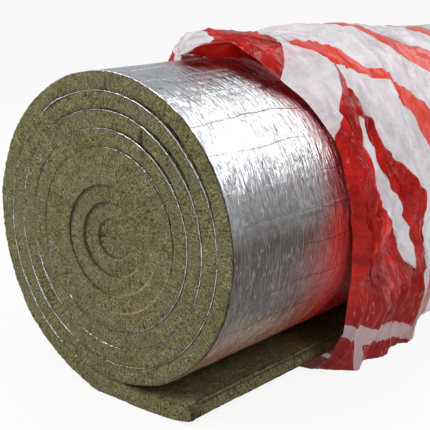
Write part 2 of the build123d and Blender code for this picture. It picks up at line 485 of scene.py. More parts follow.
class Graph:
    """Adds nodes to one node tree."""

    def __init__(self, tree: bpy.types.NodeTree) -> None:
        """Starts an empty tree."""
        self.tree = tree
        tree.nodes.clear()

    def node(self, kind: str, wires: dict | None = None, **settings: object) -> bpy.types.Node:
        """Adds a node.

        Args:
            kind: the node's type name.
            wires: what goes into each input, by name or number: a socket or a value.
            settings: other properties of the node.

        Returns:
            The node.
        """
        made = self.tree.nodes.new(kind)
        for name, value in settings.items():
            setattr(made, name, value)
        for name, value in (wires or {}).items():
            self.feed(made.inputs[name], value)
        return made

    def feed(self, socket: Socket, value: object) -> None:
        """Links a socket to an input, or sets the input's value."""
        if isinstance(value, Socket):
            self.tree.links.new(value, socket)
        else:
            socket.default_value = value

    def math(self, operation: str, first: object, second: object = 0.0) -> Socket:
        """One sum, and its result."""
        wires = {0: first, 1: second}
        return self.node("ShaderNodeMath", wires, operation=operation).outputs[0]

    def times(self, first: object, second: object) -> Socket:
        """Two values multiplied."""
        return self.math("MULTIPLY", first, second)

    def vector(self, operation: str, first: object, second: object) -> Socket:
        """One sum of vectors, or of a vector and a scale, and its result."""
        wires = {0: first, 3 if operation == "SCALE" else 1: second}
        made = self.node("ShaderNodeVectorMath", wires, operation=operation)
        return made.outputs["Value" if operation == "DOT_PRODUCT" else "Vector"]

    def scaled(self, vector: object, scale: tuple[float, float, float]) -> Socket:
        """A vector with each of its parts scaled."""
        return self.vector("MULTIPLY", vector, scale)

    def mix(self, share: object, first: object, second: object) -> Socket:
        """A mix of two colours."""
        made = self.node("ShaderNodeMix", data_type="RGBA")
        self.feed(made.inputs["Factor"], share)
        for name, colour in (("A", first), ("B", second)):
            socket = next(s for s in made.inputs if s.name == name and s.type == "RGBA")
            self.feed(socket, (*colour, 1.0) if isinstance(colour, tuple) else colour)
        return next(s for s in made.outputs if s.type == "RGBA")

    def between(self, value: object, low: float, high: float, a: float = 0.0, b: float = 1.0) -> Socket:
        """A value from low to high, mapped smoothly to a to b."""
        wires = {"Value": value, 1: low, 2: high, 3: a, 4: b}
        made = self.node("ShaderNodeMapRange", wires, interpolation_type="SMOOTHSTEP")
        return made.outputs["Result"]

    def noise(self, vector: object, scale: object, detail: float, rough: float) -> Socket:
        """A noise texture's value."""
        wires = {"Vector": vector, "Scale": scale, "Detail": detail, "Roughness": rough}
        return self.node("ShaderNodeTexNoise", wires).outputs[0]

    def trait(self, trait: Trait, output: str = "Vector") -> Socket:
        """What the mesh says about each point."""
        return self.node("ShaderNodeAttribute", attribute_name=trait.value).outputs[output]

    def group(self, tree: bpy.types.NodeTree, wires: dict) -> bpy.types.Node:
        """Places a shared node group."""
        made = self.tree.nodes.new("ShaderNodeGroup")
        made.node_tree = tree
        for name, value in wires.items():
            self.feed(made.inputs[name], value)
        return made


class SharedEffects:
    """The node groups that several finishes use, each built once."""

    def __init__(self) -> None:
        """Builds the groups."""
        self.mottle = self._mottle()
        self.creases = self._creases()
        self.facets = self._facets()

    @staticmethod
    def _start(name: str, outputs: Sequence[str]) -> tuple[Graph, bpy.types.Node]:
        """An empty group with a Vector and a Size going in, and its input node."""
        tree = bpy.data.node_groups.new(name, "ShaderNodeTree")
        tree.interface.new_socket("Vector", in_out="INPUT", socket_type="NodeSocketVector")
        size = tree.interface.new_socket("Size", in_out="INPUT", socket_type="NodeSocketFloat")
        size.default_value = 0.02
        for output in outputs:
            tree.interface.new_socket(output, in_out="OUTPUT", socket_type="NodeSocketFloat")
        graph = Graph(tree)
        return graph, graph.node("NodeGroupInput")

    def _mottle(self) -> bpy.types.NodeTree:
        """Soft blotches of two sizes, as a Mask from 0 to 1."""
        graph, given = self._start("mottle", ["Mask"])
        scale = graph.math("DIVIDE", 1.0, given.outputs["Size"])
        coarse = graph.noise(given.outputs["Vector"], scale, 3.0, 0.55)
        fine_scale = graph.times(scale, 4.7)
        fine = graph.noise(given.outputs["Vector"], fine_scale, 4.0, 0.6)
        both = graph.math("ADD", graph.times(coarse, 0.65), graph.times(fine, 0.35))
        graph.node("NodeGroupOutput", {"Mask": graph.between(both, 0.32, 0.68)})
        return graph.tree

    def _creases(self) -> bpy.types.NodeTree:
        """Sharp crossing creases: their Height, and a Line mask along them."""
        graph, given = self._start("creases", ["Height", "Line"])
        scale = graph.math("DIVIDE", 1.0, given.outputs["Size"])
        wires = {"Vector": given.outputs["Vector"], "Scale": graph.times(scale, 0.8), "Detail": 2.0}
        bend = graph.node("ShaderNodeTexNoise", wires).outputs["Color"]
        size = graph.times(given.outputs["Size"], 0.9)
        moved = graph.vector("ADD", given.outputs["Vector"], graph.vector("SCALE", bend, size))
        edges = []
        for factor in (1.0, 2.3):
            wires = {"Vector": moved, "Scale": graph.times(scale, factor)}
            cells = graph.node("ShaderNodeTexVoronoi", wires, feature="DISTANCE_TO_EDGE")
            edges.append(cells.outputs["Distance"])
        first = graph.between(edges[0], 0.0, 0.35, 1.0, 0.0)
        second = graph.between(edges[1], 0.0, 0.3, 1.0, 0.0)
        height = graph.math("ADD", graph.times(first, 0.7), graph.times(second, 0.3))
        line = graph.between(edges[0], 0.0, 0.06, 1.0, 0.0)
        graph.node("NodeGroupOutput", {"Height": height, "Line": line})
        return graph.tree

    def _facets(self) -> bpy.types.NodeTree:
        """Flat tilted facets: their Height, and a Tone for each one."""
        graph, given = self._start("facets", ["Height", "Tone"])
        scale = graph.math("DIVIDE", 1.0, given.outputs["Size"])
        scaled = graph.vector("SCALE", given.outputs["Vector"], scale)
        bend = graph.node("ShaderNodeTexNoise", {"Vector": scaled, "Scale": 0.6, "Detail": 1.0})
        moved = graph.vector("ADD", scaled, bend.outputs["Color"])
        cells = graph.node("ShaderNodeTexVoronoi", {"Vector": moved, "Scale": 1.0}, feature="F1")
        off = graph.vector("SUBTRACT", moved, cells.outputs["Position"])
        tilt = graph.vector("SUBTRACT", cells.outputs["Color"], (0.5, 0.5, 0.5))
        height = graph.vector("DOT_PRODUCT", off, tilt)
        tone = graph.node("ShaderNodeSeparateXYZ", {0: cells.outputs["Color"]}).outputs[1]
        graph.node("NodeGroupOutput", {"Height": height, "Tone": tone})
        return graph.tree


class Finish:
    """A material under construction, with its Principled shader."""

    def __init__(self, name: str) -> None:
        """Starts a material with one Principled shader."""
        self.material = bpy.data.materials.new(name)
        self.material.use_nodes = True
        self.graph = Graph(self.material.node_tree)
        self.shader = self.graph.node("ShaderNodeBsdfPrincipled")
        self.out = self.graph.node("ShaderNodeOutputMaterial", {"Surface": self.shader.outputs[0]})

    def set(self, **values: object) -> None:
        """Sets or links the shader's inputs, with _ for a space in their names."""
        for name, value in values.items():
            colour = (*value, 1.0) if isinstance(value, tuple) and len(value) == 3 else value
            self.graph.feed(self.shader.inputs[name.replace("_", " ")], colour)

    def bump(self, height: object, distance: float, strength: object, under: object = None) -> Socket:
        """A bump normal over another one, if that is given."""
        wires = {"Height": height, "Distance": distance, "Strength": strength}
        if under is not None:
            wires["Normal"] = under
        return self.graph.node("ShaderNodeBump", wires).outputs[0]


@dataclass(frozen=True)
class WoolFinish:
    """Cut stone wool: short fibres that stand across the mat, with shot and dark pits."""

    shade: Colour = (0.024, 0.021, 0.007)
    body: Colour = (0.138, 0.122, 0.046)
    straw: Colour = (0.50, 0.44, 0.22)
    ash: Colour = (0.17, 0.162, 0.105)
    # painted shade: the near-black laid into open lines, slots, the cut's groove and hidden walls
    groove: Colour = (0.03, 0.026, 0.014)
    streak: tuple[float, float, float] = (330.0, 95.0, 150.0)
    speck: float = 360.0
    patch: float = 0.022
    cloudy: float = 0.11

    def build(self, effects: SharedEffects) -> Material:
        """Makes the material."""
        finish = Finish("stone_wool")
        graph = finish.graph
        grain = graph.trait(Trait.GRAIN)
        streaks = graph.noise(graph.scaled(grain, self.streak), 1.0, 3.0, 0.6)
        specks = graph.noise(grain, self.speck, 4.0, 0.7)
        patches = graph.group(effects.mottle, {"Vector": grain, "Size": self.patch}).outputs["Mask"]
        greys = graph.group(effects.mottle, {"Vector": grain, "Size": self.cloudy}).outputs["Mask"]
        base = graph.mix(graph.between(streaks, 0.36, 0.56), self.shade, self.body)
        lighter = graph.times(graph.between(specks, 0.48, 0.64), patches)
        colour = graph.mix(lighter, base, self.straw)
        colour = graph.mix(graph.times(greys, 0.5), colour, self.ash)
        pits = graph.between(specks, 0.32, 0.46, 0.85, 0.0)
        colour = graph.mix(pits, colour, self.shade)
        mark = graph.trait(Trait.MARK, "Fac")
        # Painted light: where the mark is below 0, the wool turns towards straw, broken up by the specks.
        broken = graph.between(specks, 0.4, 0.55, 0.2, 1.0)
        pale = graph.times(graph.between(mark, -0.05, -1.0, 0.0, 0.85), broken)
        colour = graph.mix(pale, colour, self.straw)
        # Painted shade: where the mark is above 0, the wool darkens in open lines, in slots, in the cut's
        # groove and on walls hidden inside the winding.
        colour = graph.mix(graph.math("MAXIMUM", mark, 0.0), colour, self.groove)
        height = graph.math("ADD", graph.times(streaks, 0.6), graph.times(specks, 0.5))
        normal = finish.bump(height, 0.0030, 0.9)
        finish.set(Base_Color=colour, Roughness=0.95, Specular_IOR_Level=0.15, Normal=normal)
        return finish.material


@dataclass(frozen=True)
class FoilFinish:
    """Bright aluminium foil, finely wrinkled round the roll and creased along it. It carries painted shade
    along its fine creases, painted shade that turns dark grey and then reddish brown towards the floor,
    and the film's painted red reflection near the mouth.
    """

    bright: Colour = (0.86, 0.87, 0.89)
    dull: Colour = (0.62, 0.64, 0.67)
    # painted shade: the dark grey the foil turns towards the floor, in place of a dark reflection
    painted_low_shade: Colour = (0.068, 0.055, 0.047)
    # painted shade: the reddish brown of the foil's lowest part, in place of a reflection of brown ground
    painted_low_brown: Colour = (0.280, 0.130, 0.064)
    # painted reflection: the film's red, laid on the foil just before the mouth
    glow: Colour = (0.48, 0.022, 0.018)
    # painted shade: the dark grey drawn along the foil's fine creases
    crease: Colour = (0.13, 0.135, 0.145)
    joint_spacing: float = 0.056
    patch: float = 0.05
    crinkle: float = 0.0075
    fold: float = 0.026

    def joint(self, graph: Graph, sheet: Socket) -> Socket:
        """Sharp straight creases along the roll, here and there, from 0 to 1."""
        parts = graph.node("ShaderNodeSeparateXYZ", {0: sheet})
        bend = graph.noise(sheet, 9.0, 2.0, 0.5)
        turns = graph.math("DIVIDE", parts.outputs[0], self.joint_spacing)
        turns = graph.math("ADD", turns, graph.times(bend, 0.5))
        off = graph.math("ABSOLUTE", graph.math("SUBTRACT", graph.math("FRACT", turns), 0.5))
        line = graph.between(off, 0.0, 0.020, 1.0, 0.0)
        blotches = graph.noise(graph.scaled(sheet, (17.0, 6.0, 1.0)), 1.0, 1.0, 0.5)
        return graph.times(line, graph.between(blotches, 0.36, 0.5))

    def build(self, effects: SharedEffects) -> Material:
        """Makes the material."""
        finish = Finish("aluminium_foil")
        graph = finish.graph
        sheet = graph.trait(Trait.SHEET)
        patches = graph.group(effects.mottle, {"Vector": sheet, "Size": self.patch}).outputs["Mask"]
        round_way = graph.scaled(sheet, (0.14, 1.0, 1.0))
        crinkle = graph.group(effects.creases, {"Vector": round_way, "Size": self.crinkle})
        slanting = graph.scaled(sheet, (0.45, 1.0, 1.0))
        folds = graph.group(effects.creases, {"Vector": slanting, "Size": self.fold})
        tiny = graph.noise(graph.scaled(sheet, (0.25, 1.0, 1.0)), 700.0, 2.0, 0.5)
        colour = graph.mix(patches, self.dull, self.bright)
        # Painted shade: dark lines along the fine creases, weaker on the brighter patches.
        lines = graph.times(crinkle.outputs["Line"], graph.between(patches, 0.0, 1.0, 0.85, 0.45))
        low = graph.trait(Trait.MARK, "Fac")
        crisp = graph.between(low, 0.05, 0.50, 1.0, 0.40)
        colour = graph.mix(graph.times(lines, crisp), colour, self.crease)
        # Painted shade: towards the floor the foil turns dark grey and then reddish brown, with faint pale
        # crease lines, and its dark crease lines are drawn weaker there.
        low_shade_colour = graph.mix(graph.between(low, 0.58, 0.92), self.painted_low_shade, self.painted_low_brown)
        low_shade_colour = graph.mix(graph.times(crinkle.outputs["Line"], 0.22), low_shade_colour, self.dull)
        thin = graph.between(patches, 0.0, 1.0, 0.95, 1.0)
        colour = graph.mix(graph.times(graph.between(low, 0.02, 0.34), thin), colour, low_shade_colour)
        # Painted reflection: the film's red laid on the foil near the mouth, from the skin's layers trait.
        near = graph.trait(Trait.LAYERS, "Fac")
        colour = graph.mix(near, colour, self.glow)
        roughness = graph.between(patches, 0.0, 1.0, 0.30, 0.19)
        normal = finish.bump(folds.outputs["Height"], 0.0013, 0.8)
        normal = finish.bump(self.joint(graph, sheet), 0.0014, 1.0, normal)
        normal = finish.bump(graph.times(crinkle.outputs["Height"], crisp), 0.0009, 0.9, normal)
        normal = finish.bump(tiny, 0.0003, 0.5, normal)
        # Painted shade: the foil is also less metallic towards the floor.
        metal = graph.between(low, 0.10, 0.66, 1.0, 0.20)
        finish.set(Base_Color=colour, Metallic=metal, Roughness=roughness, Normal=normal)
        finish.set(Specular_IOR_Level=0.08)
        return finish.material


@dataclass(frozen=True)
class FilmFinish:
    """Thin milky film with printed red bands."""

    red: Colour = (0.80, 0.018, 0.010)
    # deep red, which is also the painted shade of the red film near the floor and under the hem
    deep: Colour = (0.30, 0.003, 0.002)
    coral: Colour = (0.90, 0.080, 0.050)
    milk: Colour = (0.93, 0.90, 0.92)
    clear: Colour = (0.86, 0.87, 0.91)
    # painted shade of the milky film near the floor and under the hem
    shaded: Colour = (0.46, 0.22, 0.22)
    blush: Colour = (0.80, 0.50, 0.55)
    # painted glints: pale streaks on the crumpled film
    painted_glint: Colour = (0.90, 0.60, 0.56)
    through: float = 0.16
    print_edge: float = 0.0009
    patch: float = 0.045
    stain: float = 0.10
    facet: float = 0.030
    small_facet: float = 0.011

    def build(self, effects: SharedEffects) -> Material:
        """Makes the material."""
        finish = Finish("printed_film")
        graph = finish.graph
        sheet = graph.trait(Trait.SHEET)
        layers = graph.trait(Trait.LAYERS, "Fac")
        printed = graph.between(graph.trait(Trait.MARK, "Fac"), -self.print_edge, self.print_edge)
        patches = graph.group(effects.mottle, {"Vector": sheet, "Size": self.patch}).outputs["Mask"]
        longer = graph.scaled(sheet, (1.0, 1.0, 0.6))
        stains = graph.group(effects.mottle, {"Vector": longer, "Size": self.stain})
        shorter = graph.scaled(sheet, (0.8, 0.8, 1.0))
        big = graph.group(effects.facets, {"Vector": shorter, "Size": self.facet})
        small = graph.group(effects.facets, {"Vector": sheet, "Size": self.small_facet})
        red = graph.mix(patches, self.deep, self.red)
        red = graph.mix(graph.times(big.outputs["Tone"], 0.45), red, self.deep)
        red = graph.mix(graph.between(layers, 0.0, 0.7, 0.8, 0.0), red, self.coral)
        # Painted shade: layers above 1, set near the floor and on the turned hem, darken the red to deep
        # red and the milk to its shaded colour.
        many = graph.between(layers, 1.0, 1.9, 0.0, 0.85)
        red = graph.mix(many, red, self.deep)
        milk = graph.mix(patches, self.clear, self.milk)
        loose = graph.between(layers, 0.0, 1.0, 0.35, 1.0)
        blush = graph.times(graph.between(stains.outputs["Mask"], 0.50, 1.0, 0.0, 0.6), loose)
        milk = graph.mix(graph.times(many, 0.75), graph.mix(blush, milk, self.blush), self.shaded)
        colour = graph.mix(printed, milk, red)
        # Painted glints: pale streaks on the crumpled film, where the layers trait is high.
        glint_streaks = graph.noise(graph.scaled(sheet, (60.0, 60.0, 170.0)), 1.0, 3.0, 0.6)
        painted_glints = graph.times(graph.between(glint_streaks, 0.62, 0.74, 0.0, 0.28), layers)
        colour = graph.mix(painted_glints, colour, self.painted_glint)
        milk_alpha = graph.between(patches, 0.0, 1.0, 0.74, 0.92)
        alpha = graph.math("MAXIMUM", graph.times(printed, 0.97), milk_alpha)
        crushed = graph.times(loose, graph.math("ADD", 0.55, graph.times(printed, 0.45)))
        normal = finish.bump(big.outputs["Height"], 0.0085, crushed)
        normal = finish.bump(small.outputs["Height"], 0.0030, graph.times(crushed, crushed), normal)
        finish.set(Base_Color=colour, Roughness=0.12, Specular_IOR_Level=0.20, Alpha=alpha, Normal=normal)
        glow = graph.node("ShaderNodeBsdfTranslucent", {"Color": colour, "Normal": normal})
        wires = {0: self.through, 1: finish.shader.outputs[0], 2: glow.outputs[0]}
        both = graph.node("ShaderNodeMixShader", wires)
        graph.feed(finish.out.inputs["Surface"], both.outputs[0])
        return finish.material


@dataclass
class WoolMat:
    """The wool: one long mat, wound from its loose end to the closed middle."""

    winding: Winding
    spacing: float = 0.003
    across: int = 12
    rear_across: int = 4
    row_spacing: float = 0.0055
    wall_depths: tuple[float, ...] = (0.004, 0.010, 0.022)
    sunk: tuple[float, ...] = (0.0016, 0.0014, 0.0006)
    edge_round: float = 0.0028
    groove_at: float = 0.76
    groove_depth: float = 0.0030
    groove_width: float = 0.055
    wear: float = 0.0052
    # how dark the painted shade is on walls hidden inside the winding
    hidden_shade: float = 0.75
    slot_depth: float = 0.014
    slot_lean: float = 0.06
    slots: tuple[tuple[float, float, float, float], ...] = (
        (0.0745, 0.425, 0.452, 0.0021),
        (0.0780, 0.410, 0.424, 0.0014),
        (0.0010, 0.498, 0.520, 0.0012),
    )
    relief: tuple[Ripple, ...] = (
        Ripple(0.0011, 0.030, 2.0), Ripple(0.0009, 0.010, 3.0), Ripple(0.0005, 0.0042, 5.0)
    )
    fibres: Ripple = Ripple(0.0007, 0.0045, 4.0)
    ragged: Ripple = Ripple(0.6, 0.006, 6.0)
    wear_patches: Ripple = Ripple(0.5, 0.012, 7.0)
    overhang: Ripple = Ripple(0.0009, 0.005, 17.0)
    tail_relief: tuple[Ripple, ...] = (
        Ripple(0.0016, 0.045, 11.0), Ripple(0.0011, 0.014, 12.0), Ripple(0.0006, 0.006, 13.0)
    )
    groove_wander: Ripple = Ripple(0.05, 0.12, 14.0)
    cut_relief: tuple[Ripple, ...] = (Ripple(0.0010, 0.020, 15.0), Ripple(0.0008, 0.006, 16.0))

    def faces_front(self, strip: Strip, share: np.ndarray) -> np.ndarray:
        """Y of the bare end's face for each station and each share of the mat's thickness."""
        where, side = strip.where[:, None], share[None, :]
        base = self.winding.set_back(where)
        plane = strip.outer[:, None, :] * (1 - side[..., None]) + strip.inner[:, None, :] * side[..., None]
        spots = places(plane[..., 0], plane[..., 1], 0.0)
        streaky = places(strip.along[:, None], side * 0.010, 0.0)
        steps = self.winding.turn_steps(strip.along, strip.where)[:, None]
        relief = uneven(spots, self.relief) + self.fibres.at(streaky)
        thickness = np.linalg.norm(strip.inner - strip.outer, axis=1)[:, None]
        edge = np.minimum(side, 1.0 - side) * thickness
        ragged = self.edge_round * (0.5 + self.ragged.at(spots))
        parted = self.winding.parted(strip.where)[:, None]
        rounded = ragged * (0.25 + parted) * np.clip(1.0 - edge / 0.004, 0.0, 1.0) ** 2
        worn = self.wear * self.winding.worn(strip.where)[:, None]
        worn = worn * ease(side, 0.78, 1.0) * (1.0 + self.wear_patches.at(spots))
        corner = self.winding.corner(strip.along)[:, None]
        return base + steps + relief + rounded + worn + corner + self.cracks(spots)

    def cracks(self, spots: np.ndarray) -> np.ndarray:
        """The open slots where two slats of the mat part, by place in the plane of the bare end."""
        depth = np.zeros(spots.shape[:-1])
        for x, low, high, width in self.slots:
            across = spots[..., 0] - x - self.slot_lean * (spots[..., 1] - low)
            along = ease(spots[..., 1], low, low + 0.004) * ease(spots[..., 1], high, high - 0.004)
            depth += self.slot_depth * along * bump(across, 0.0, width)
        return depth

    def shape(self) -> tuple[np.ndarray, Faces, np.ndarray, np.ndarray]:
        """The mat's points, faces, grain and marks: painted shade above 0 and painted light below 0."""
        strip = lay_out_strip(self.winding, self.spacing)
        count = len(strip.where)
        share = 0.5 - 0.5 * np.cos(np.pi * np.arange(self.across + 1) / self.across)
        rear_share = share[:: self.across // self.rear_across]
        front = self.faces_front(strip, share)
        rear = ROLL_LENGTH + self.winding.set_back(strip.where)
        depths = np.array(self.wall_depths)

        points: list[np.ndarray] = []
        grain: list[np.ndarray] = []
        mark: list[np.ndarray] = []

        def add(
            station: np.ndarray, side: np.ndarray, y: np.ndarray, out: np.ndarray, dark: np.ndarray
        ) -> int:
            """Adds points by station, share and Y, moved across the mat, and says the first number."""
            station, side, y, out, dark = np.broadcast_arrays(station, side, y, out, dark)
            station, side, y = station.ravel(), side.ravel(), y.ravel()
            outer, inner = strip.outer[station], strip.inner[station]
            plane = outer * (1 - side[:, None]) + inner * side[:, None]
            lean = inner - outer
            length = np.linalg.norm(lean, axis=1)[:, None] + 1e-9
            plane = plane + lean / length * out.ravel()[:, None]
            first = sum(len(p) for p in points)
            points.append(places(plane[:, 0], y, plane[:, 1]))
            grain.append(places(strip.along[station], side * length[:, 0], y))
            mark.append(dark.ravel().astype(float))
            return first

        stations = np.arange(count)
        parted = self.winding.parted(strip.where)
        closing = self.winding.turn_gap * (1.0 - 1.6 * parted) - 0.0012 * self.winding.worn(strip.where)
        closing = np.where(stations > strip.nip, closing, 0.0)
        overhang = 0.0007 + self.overhang.at(places(strip.along, 0.0, strip.where))
        move = closing[:, None] * ease(share, 0.6, 1.0) - overhang[:, None] * ease(share, 0.16, 0.0)
        # Painted shade: the wool is darkened beside the open lines between the turns and in the slots.
        seam = parted[:, None] * (ease(share, 0.10, 0.0) + ease(share, 0.92, 1.0))
        dark = np.clip(0.75 * seam + 40.0 * self.cracks_at(strip, share), 0.0, 1.0)
        # Painted light: pale edges along the inner lines, low on the right, set as marks below 0.
        lit_edges = self.winding.lit_edges(strip.where)[:, None]
        dark -= lit_edges * (ease(share, 0.16, 0.0) + 0.6 * ease(share, 0.90, 1.0))
        # Painted shade on the walls hidden inside the winding, lighter in the middle turns.
        wound = (stations > strip.nip) * (1.0 - 0.5 * ease(strip.where, 10.0, 12.0))
        hidden = (self.hidden_shade * wound)[:, None]
        on_outer, on_inner = np.array([[0.0]]), np.array([[1.0]])
        every, back = stations[:, None], rear[:, None]
        front_at = add(every, share[None, :], front, move, dark)
        inner_y = front[:, -1:] + depths[None, :]
        inner_out = closing[:, None] * np.exp(-depths / 0.012)[None, :]
        inner_at = add(every, on_inner, inner_y, inner_out, hidden)
        far_inner = add(every, on_inner, back - depths[::-1][None, :2], 0.0, hidden)
        rear_at = add(every, rear_share[::-1][None, :], back, 0.0, 0.0)
        # Painted shade on the outer walls as well.
        far_outer = add(every, on_outer, back - depths[1:][None, :], 0.0015, self.hidden_shade)
        outer_y = front[:, :1] + depths[::-1][None, :]
        sunk = np.array(self.sunk)[None, :]
        outer_at = add(every, on_outer, outer_y, sunk, self.hidden_shade)

        wide, walls, rears = self.across + 1, len(depths), self.rear_across + 1

        def ring(i: int) -> list[int]:
            """The point numbers round one station."""
            return (
                [front_at + i * wide + j for j in range(wide)]
                + [inner_at + i * walls + j for j in range(walls)]
                + [far_inner + i * 2 + j for j in range(2)]
                + [rear_at + i * rears + j for j in range(rears)]
                + [far_outer + i * 2 + j for j in range(2)]
                + [outer_at + i * walls + j for j in range(walls)]
            )

        rings = [ring(i) for i in range(count)]
        size = len(rings[0])
        gap_inner = wide + walls - 1
        gap_outer = wide + walls + 2 + rears + 1
        nip = strip.nip - 2

        row_y = np.arange(depths[-1] + self.row_spacing, ROLL_LENGTH - depths[-1], self.row_spacing)
        rows = len(row_y)
        tail = stations[: nip + 1]
        spots = places(strip.inner[tail, 0][:, None], row_y[None, :], 0.0)
        soft = np.clip((strip.inner[tail, 0] - self.winding.nip_at) / 0.05, 0.0, 1.0)[:, None]
        out = soft * uneven(spots, self.tail_relief)
        # Painted shade on the loose end's top where it runs in under the roll.
        dark = self.hidden_shade * ease(strip.inner[tail, 0], 0.03, self.winding.nip_at)[:, None]
        top_at = add(tail[:, None], on_inner, row_y[None, :], out, dark)
        cut_share = share[1:-1]
        under_at = add(np.array([[0]]), on_outer, row_y[None, :], 0.0, 0.0)
        cut_at = add(np.array([[0]]), cut_share[:, None], row_y[None, :], 0.0, 0.0)

        faces: Faces = []
        for i in range(count - 1):
            a, b = rings[i], rings[i + 1]
            for j in range(size):
                k = (j + 1) % size
                if j == gap_inner and i <= nip:
                    top = [top_at + i * rows + r for r in range(rows)]
                    line = [a[j], *top, a[k]]
                    if i == nip:
                        faces.append((*line, b[k], b[j]))
                    else:
                        after = [b[j], *(top_at + (i + 1) * rows + r for r in range(rows)), b[k]]
                        faces += [
                            (line[r], line[r + 1], after[r + 1], after[r]) for r in range(len(line) - 1)
                        ]
                elif j == gap_outer and i == 0:
                    under = [under_at + r for r in reversed(range(rows))]
                    faces.append((a[j], *under, a[k], b[k], b[j]))
                else:
                    faces.append((a[j], a[k], b[k], b[j]))
        faces.append(tuple(reversed(rings[-1])))
        faces += self.cut_faces(rings[0], wide, walls, rears, (top_at, under_at, cut_at), rows)

        everything = np.concatenate(points)
        marks = np.concatenate(mark)
        self.carve_cut(everything, marks, cut_at, cut_share, row_y)
        return everything, faces, np.concatenate(grain), marks

    def cracks_at(self, strip: Strip, share: np.ndarray) -> np.ndarray:
        """How deep the slots are for each station and each share of the thickness."""
        side = share[None, :, None]
        return self.cracks(strip.outer[:, None, :] * (1 - side) + strip.inner[:, None, :] * side)

    def cut_faces(
        self, ring: list[int], wide: int, walls: int, rears: int, starts: tuple[int, int, int], rows: int
    ) -> Faces:
        """The faces of the cut edge along the loose end.

        Args:
            ring: the point numbers round the first station.
            wide: points across the front.
            walls: points down each wall near an end.
            rears: points across the rear.
            starts: first point numbers of the top's, the underside's and the cut's rows.
            rows: how many rows lie between the walls' points.

        Returns:
            The faces, looking away from the mat.
        """
        top_at, under_at, cut_at = starts
        front = ring[:wide]
        inner = ring[wide : wide + walls]
        far_inner = ring[wide + walls : wide + walls + 2]
        rear = ring[wide + walls + 2 : wide + walls + 2 + rears][::-1]
        far_outer = ring[wide + walls + 2 + rears : wide + walls + 4 + rears][::-1]
        outer = ring[wide + walls + 4 + rears :][::-1]
        bottom = [front[0], *outer, *(under_at + r for r in range(rows)), *far_outer]
        top = [front[-1], *inner, *(top_at + r for r in range(rows)), *far_inner]
        inside = [[cut_at + j * rows + r for r in range(rows)] for j in range(wide - 2)]
        faces: Faces = []
        first, last = walls + 1, walls + rows
        columns = [bottom[first : last + 1], *inside, top[first : last + 1]]
        for low, high in zip(columns, columns[1:]):
            faces += [(low[r], high[r], high[r + 1], low[r + 1]) for r in range(rows - 1)]
        faces.append((*front, *top[1 : first + 1], *(c[0] for c in reversed(inside)), *bottom[first:0:-1]))
        faces.append((*(c[-1] for c in columns), *top[last + 1 :], *rear[::-1], *bottom[:last:-1]))
        return faces

    def carve_cut(
        self, points: np.ndarray, marks: np.ndarray, start: int, share: np.ndarray, row_y: np.ndarray
    ) -> None:
        """Roughens the cut edge, carves the groove along it and paints shade into that groove."""
        rows = len(row_y)
        for j, side in enumerate(share):
            span = slice(start + j * rows, start + (j + 1) * rows)
            spots = points[span]
            wander = self.groove_at + self.groove_wander.at(spots)
            groove = bump(side, wander, self.groove_width)
            points[span, 0] += uneven(spots, self.cut_relief) - self.groove_depth * groove
            # painted shade in the groove
            marks[span] = 0.9 * groove

    def build(self, shop: Workshop, material: Material) -> bpy.types.Object:
        """Makes the piece."""
        points, faces, grain, marks = self.shape()
        traits = {Trait.GRAIN: grain, Trait.MARK: marks}
        return shop.place("wound_wool", points, faces, traits, material, Slot.WOOL, ["wool_mat"])


def by_angle(angle: np.ndarray, *points: tuple[float, float]) -> np.ndarray:
    """Values given at a few angles from -90 to 270 degrees, joined by straight lines."""
    angles, values = zip(*points)
    return np.interp((np.asarray(angle) + 90.0) % 360.0 - 90.0, angles, values)


@dataclass(frozen=True)
class Mouth:
    """The film's front edge: at each angle its distance from the bare end and its height over the roll."""

    line: tuple[tuple[float, float, float], ...] = (
        (-90.0, 0.300, 0.003),
        (-60.0, 0.300, 0.003),
        (-50.0, 0.318, 0.003),
        (-38.0, 0.311, 0.004),
        (-21.0, 0.307, 0.004),
        (-4.0, 0.292, 0.004),
        (19.0, 0.286, 0.004),
        (31.0, 0.288, 0.004),
        (42.0, 0.280, 0.004),
        (52.0, 0.265, 0.006),
        (58.0, 0.249, 0.010),
        (65.0, 0.236, 0.017),
        (74.0, 0.231, 0.023),
        (79.0, 0.228, 0.029),
        (81.5, 0.195, 0.026),
        (83.5, 0.165, 0.019),
        (86.0, 0.162, 0.010),
        (90.0, 0.173, 0.004),
        (97.0, 0.193, 0.001),
        (100.0, 0.216, 0.002),
        (106.0, 0.250, 0.005),
        (112.0, 0.280, 0.007),
        (121.0, 0.318, 0.009),
        (132.0, 0.330, 0.008),
        (150.0, 0.315, 0.006),
        (180.0, 0.300, 0.004),
        (270.0, 0.300, 0.003),
    )

    def at(self, angle: np.ndarray) -> tuple[np.ndarray, np.ndarray]:
        """The edge's distance and height at each angle."""
        place, height = (by_angle(angle, *((p[0], p[i]) for p in self.line)) for i in (1, 2))
        return place, height


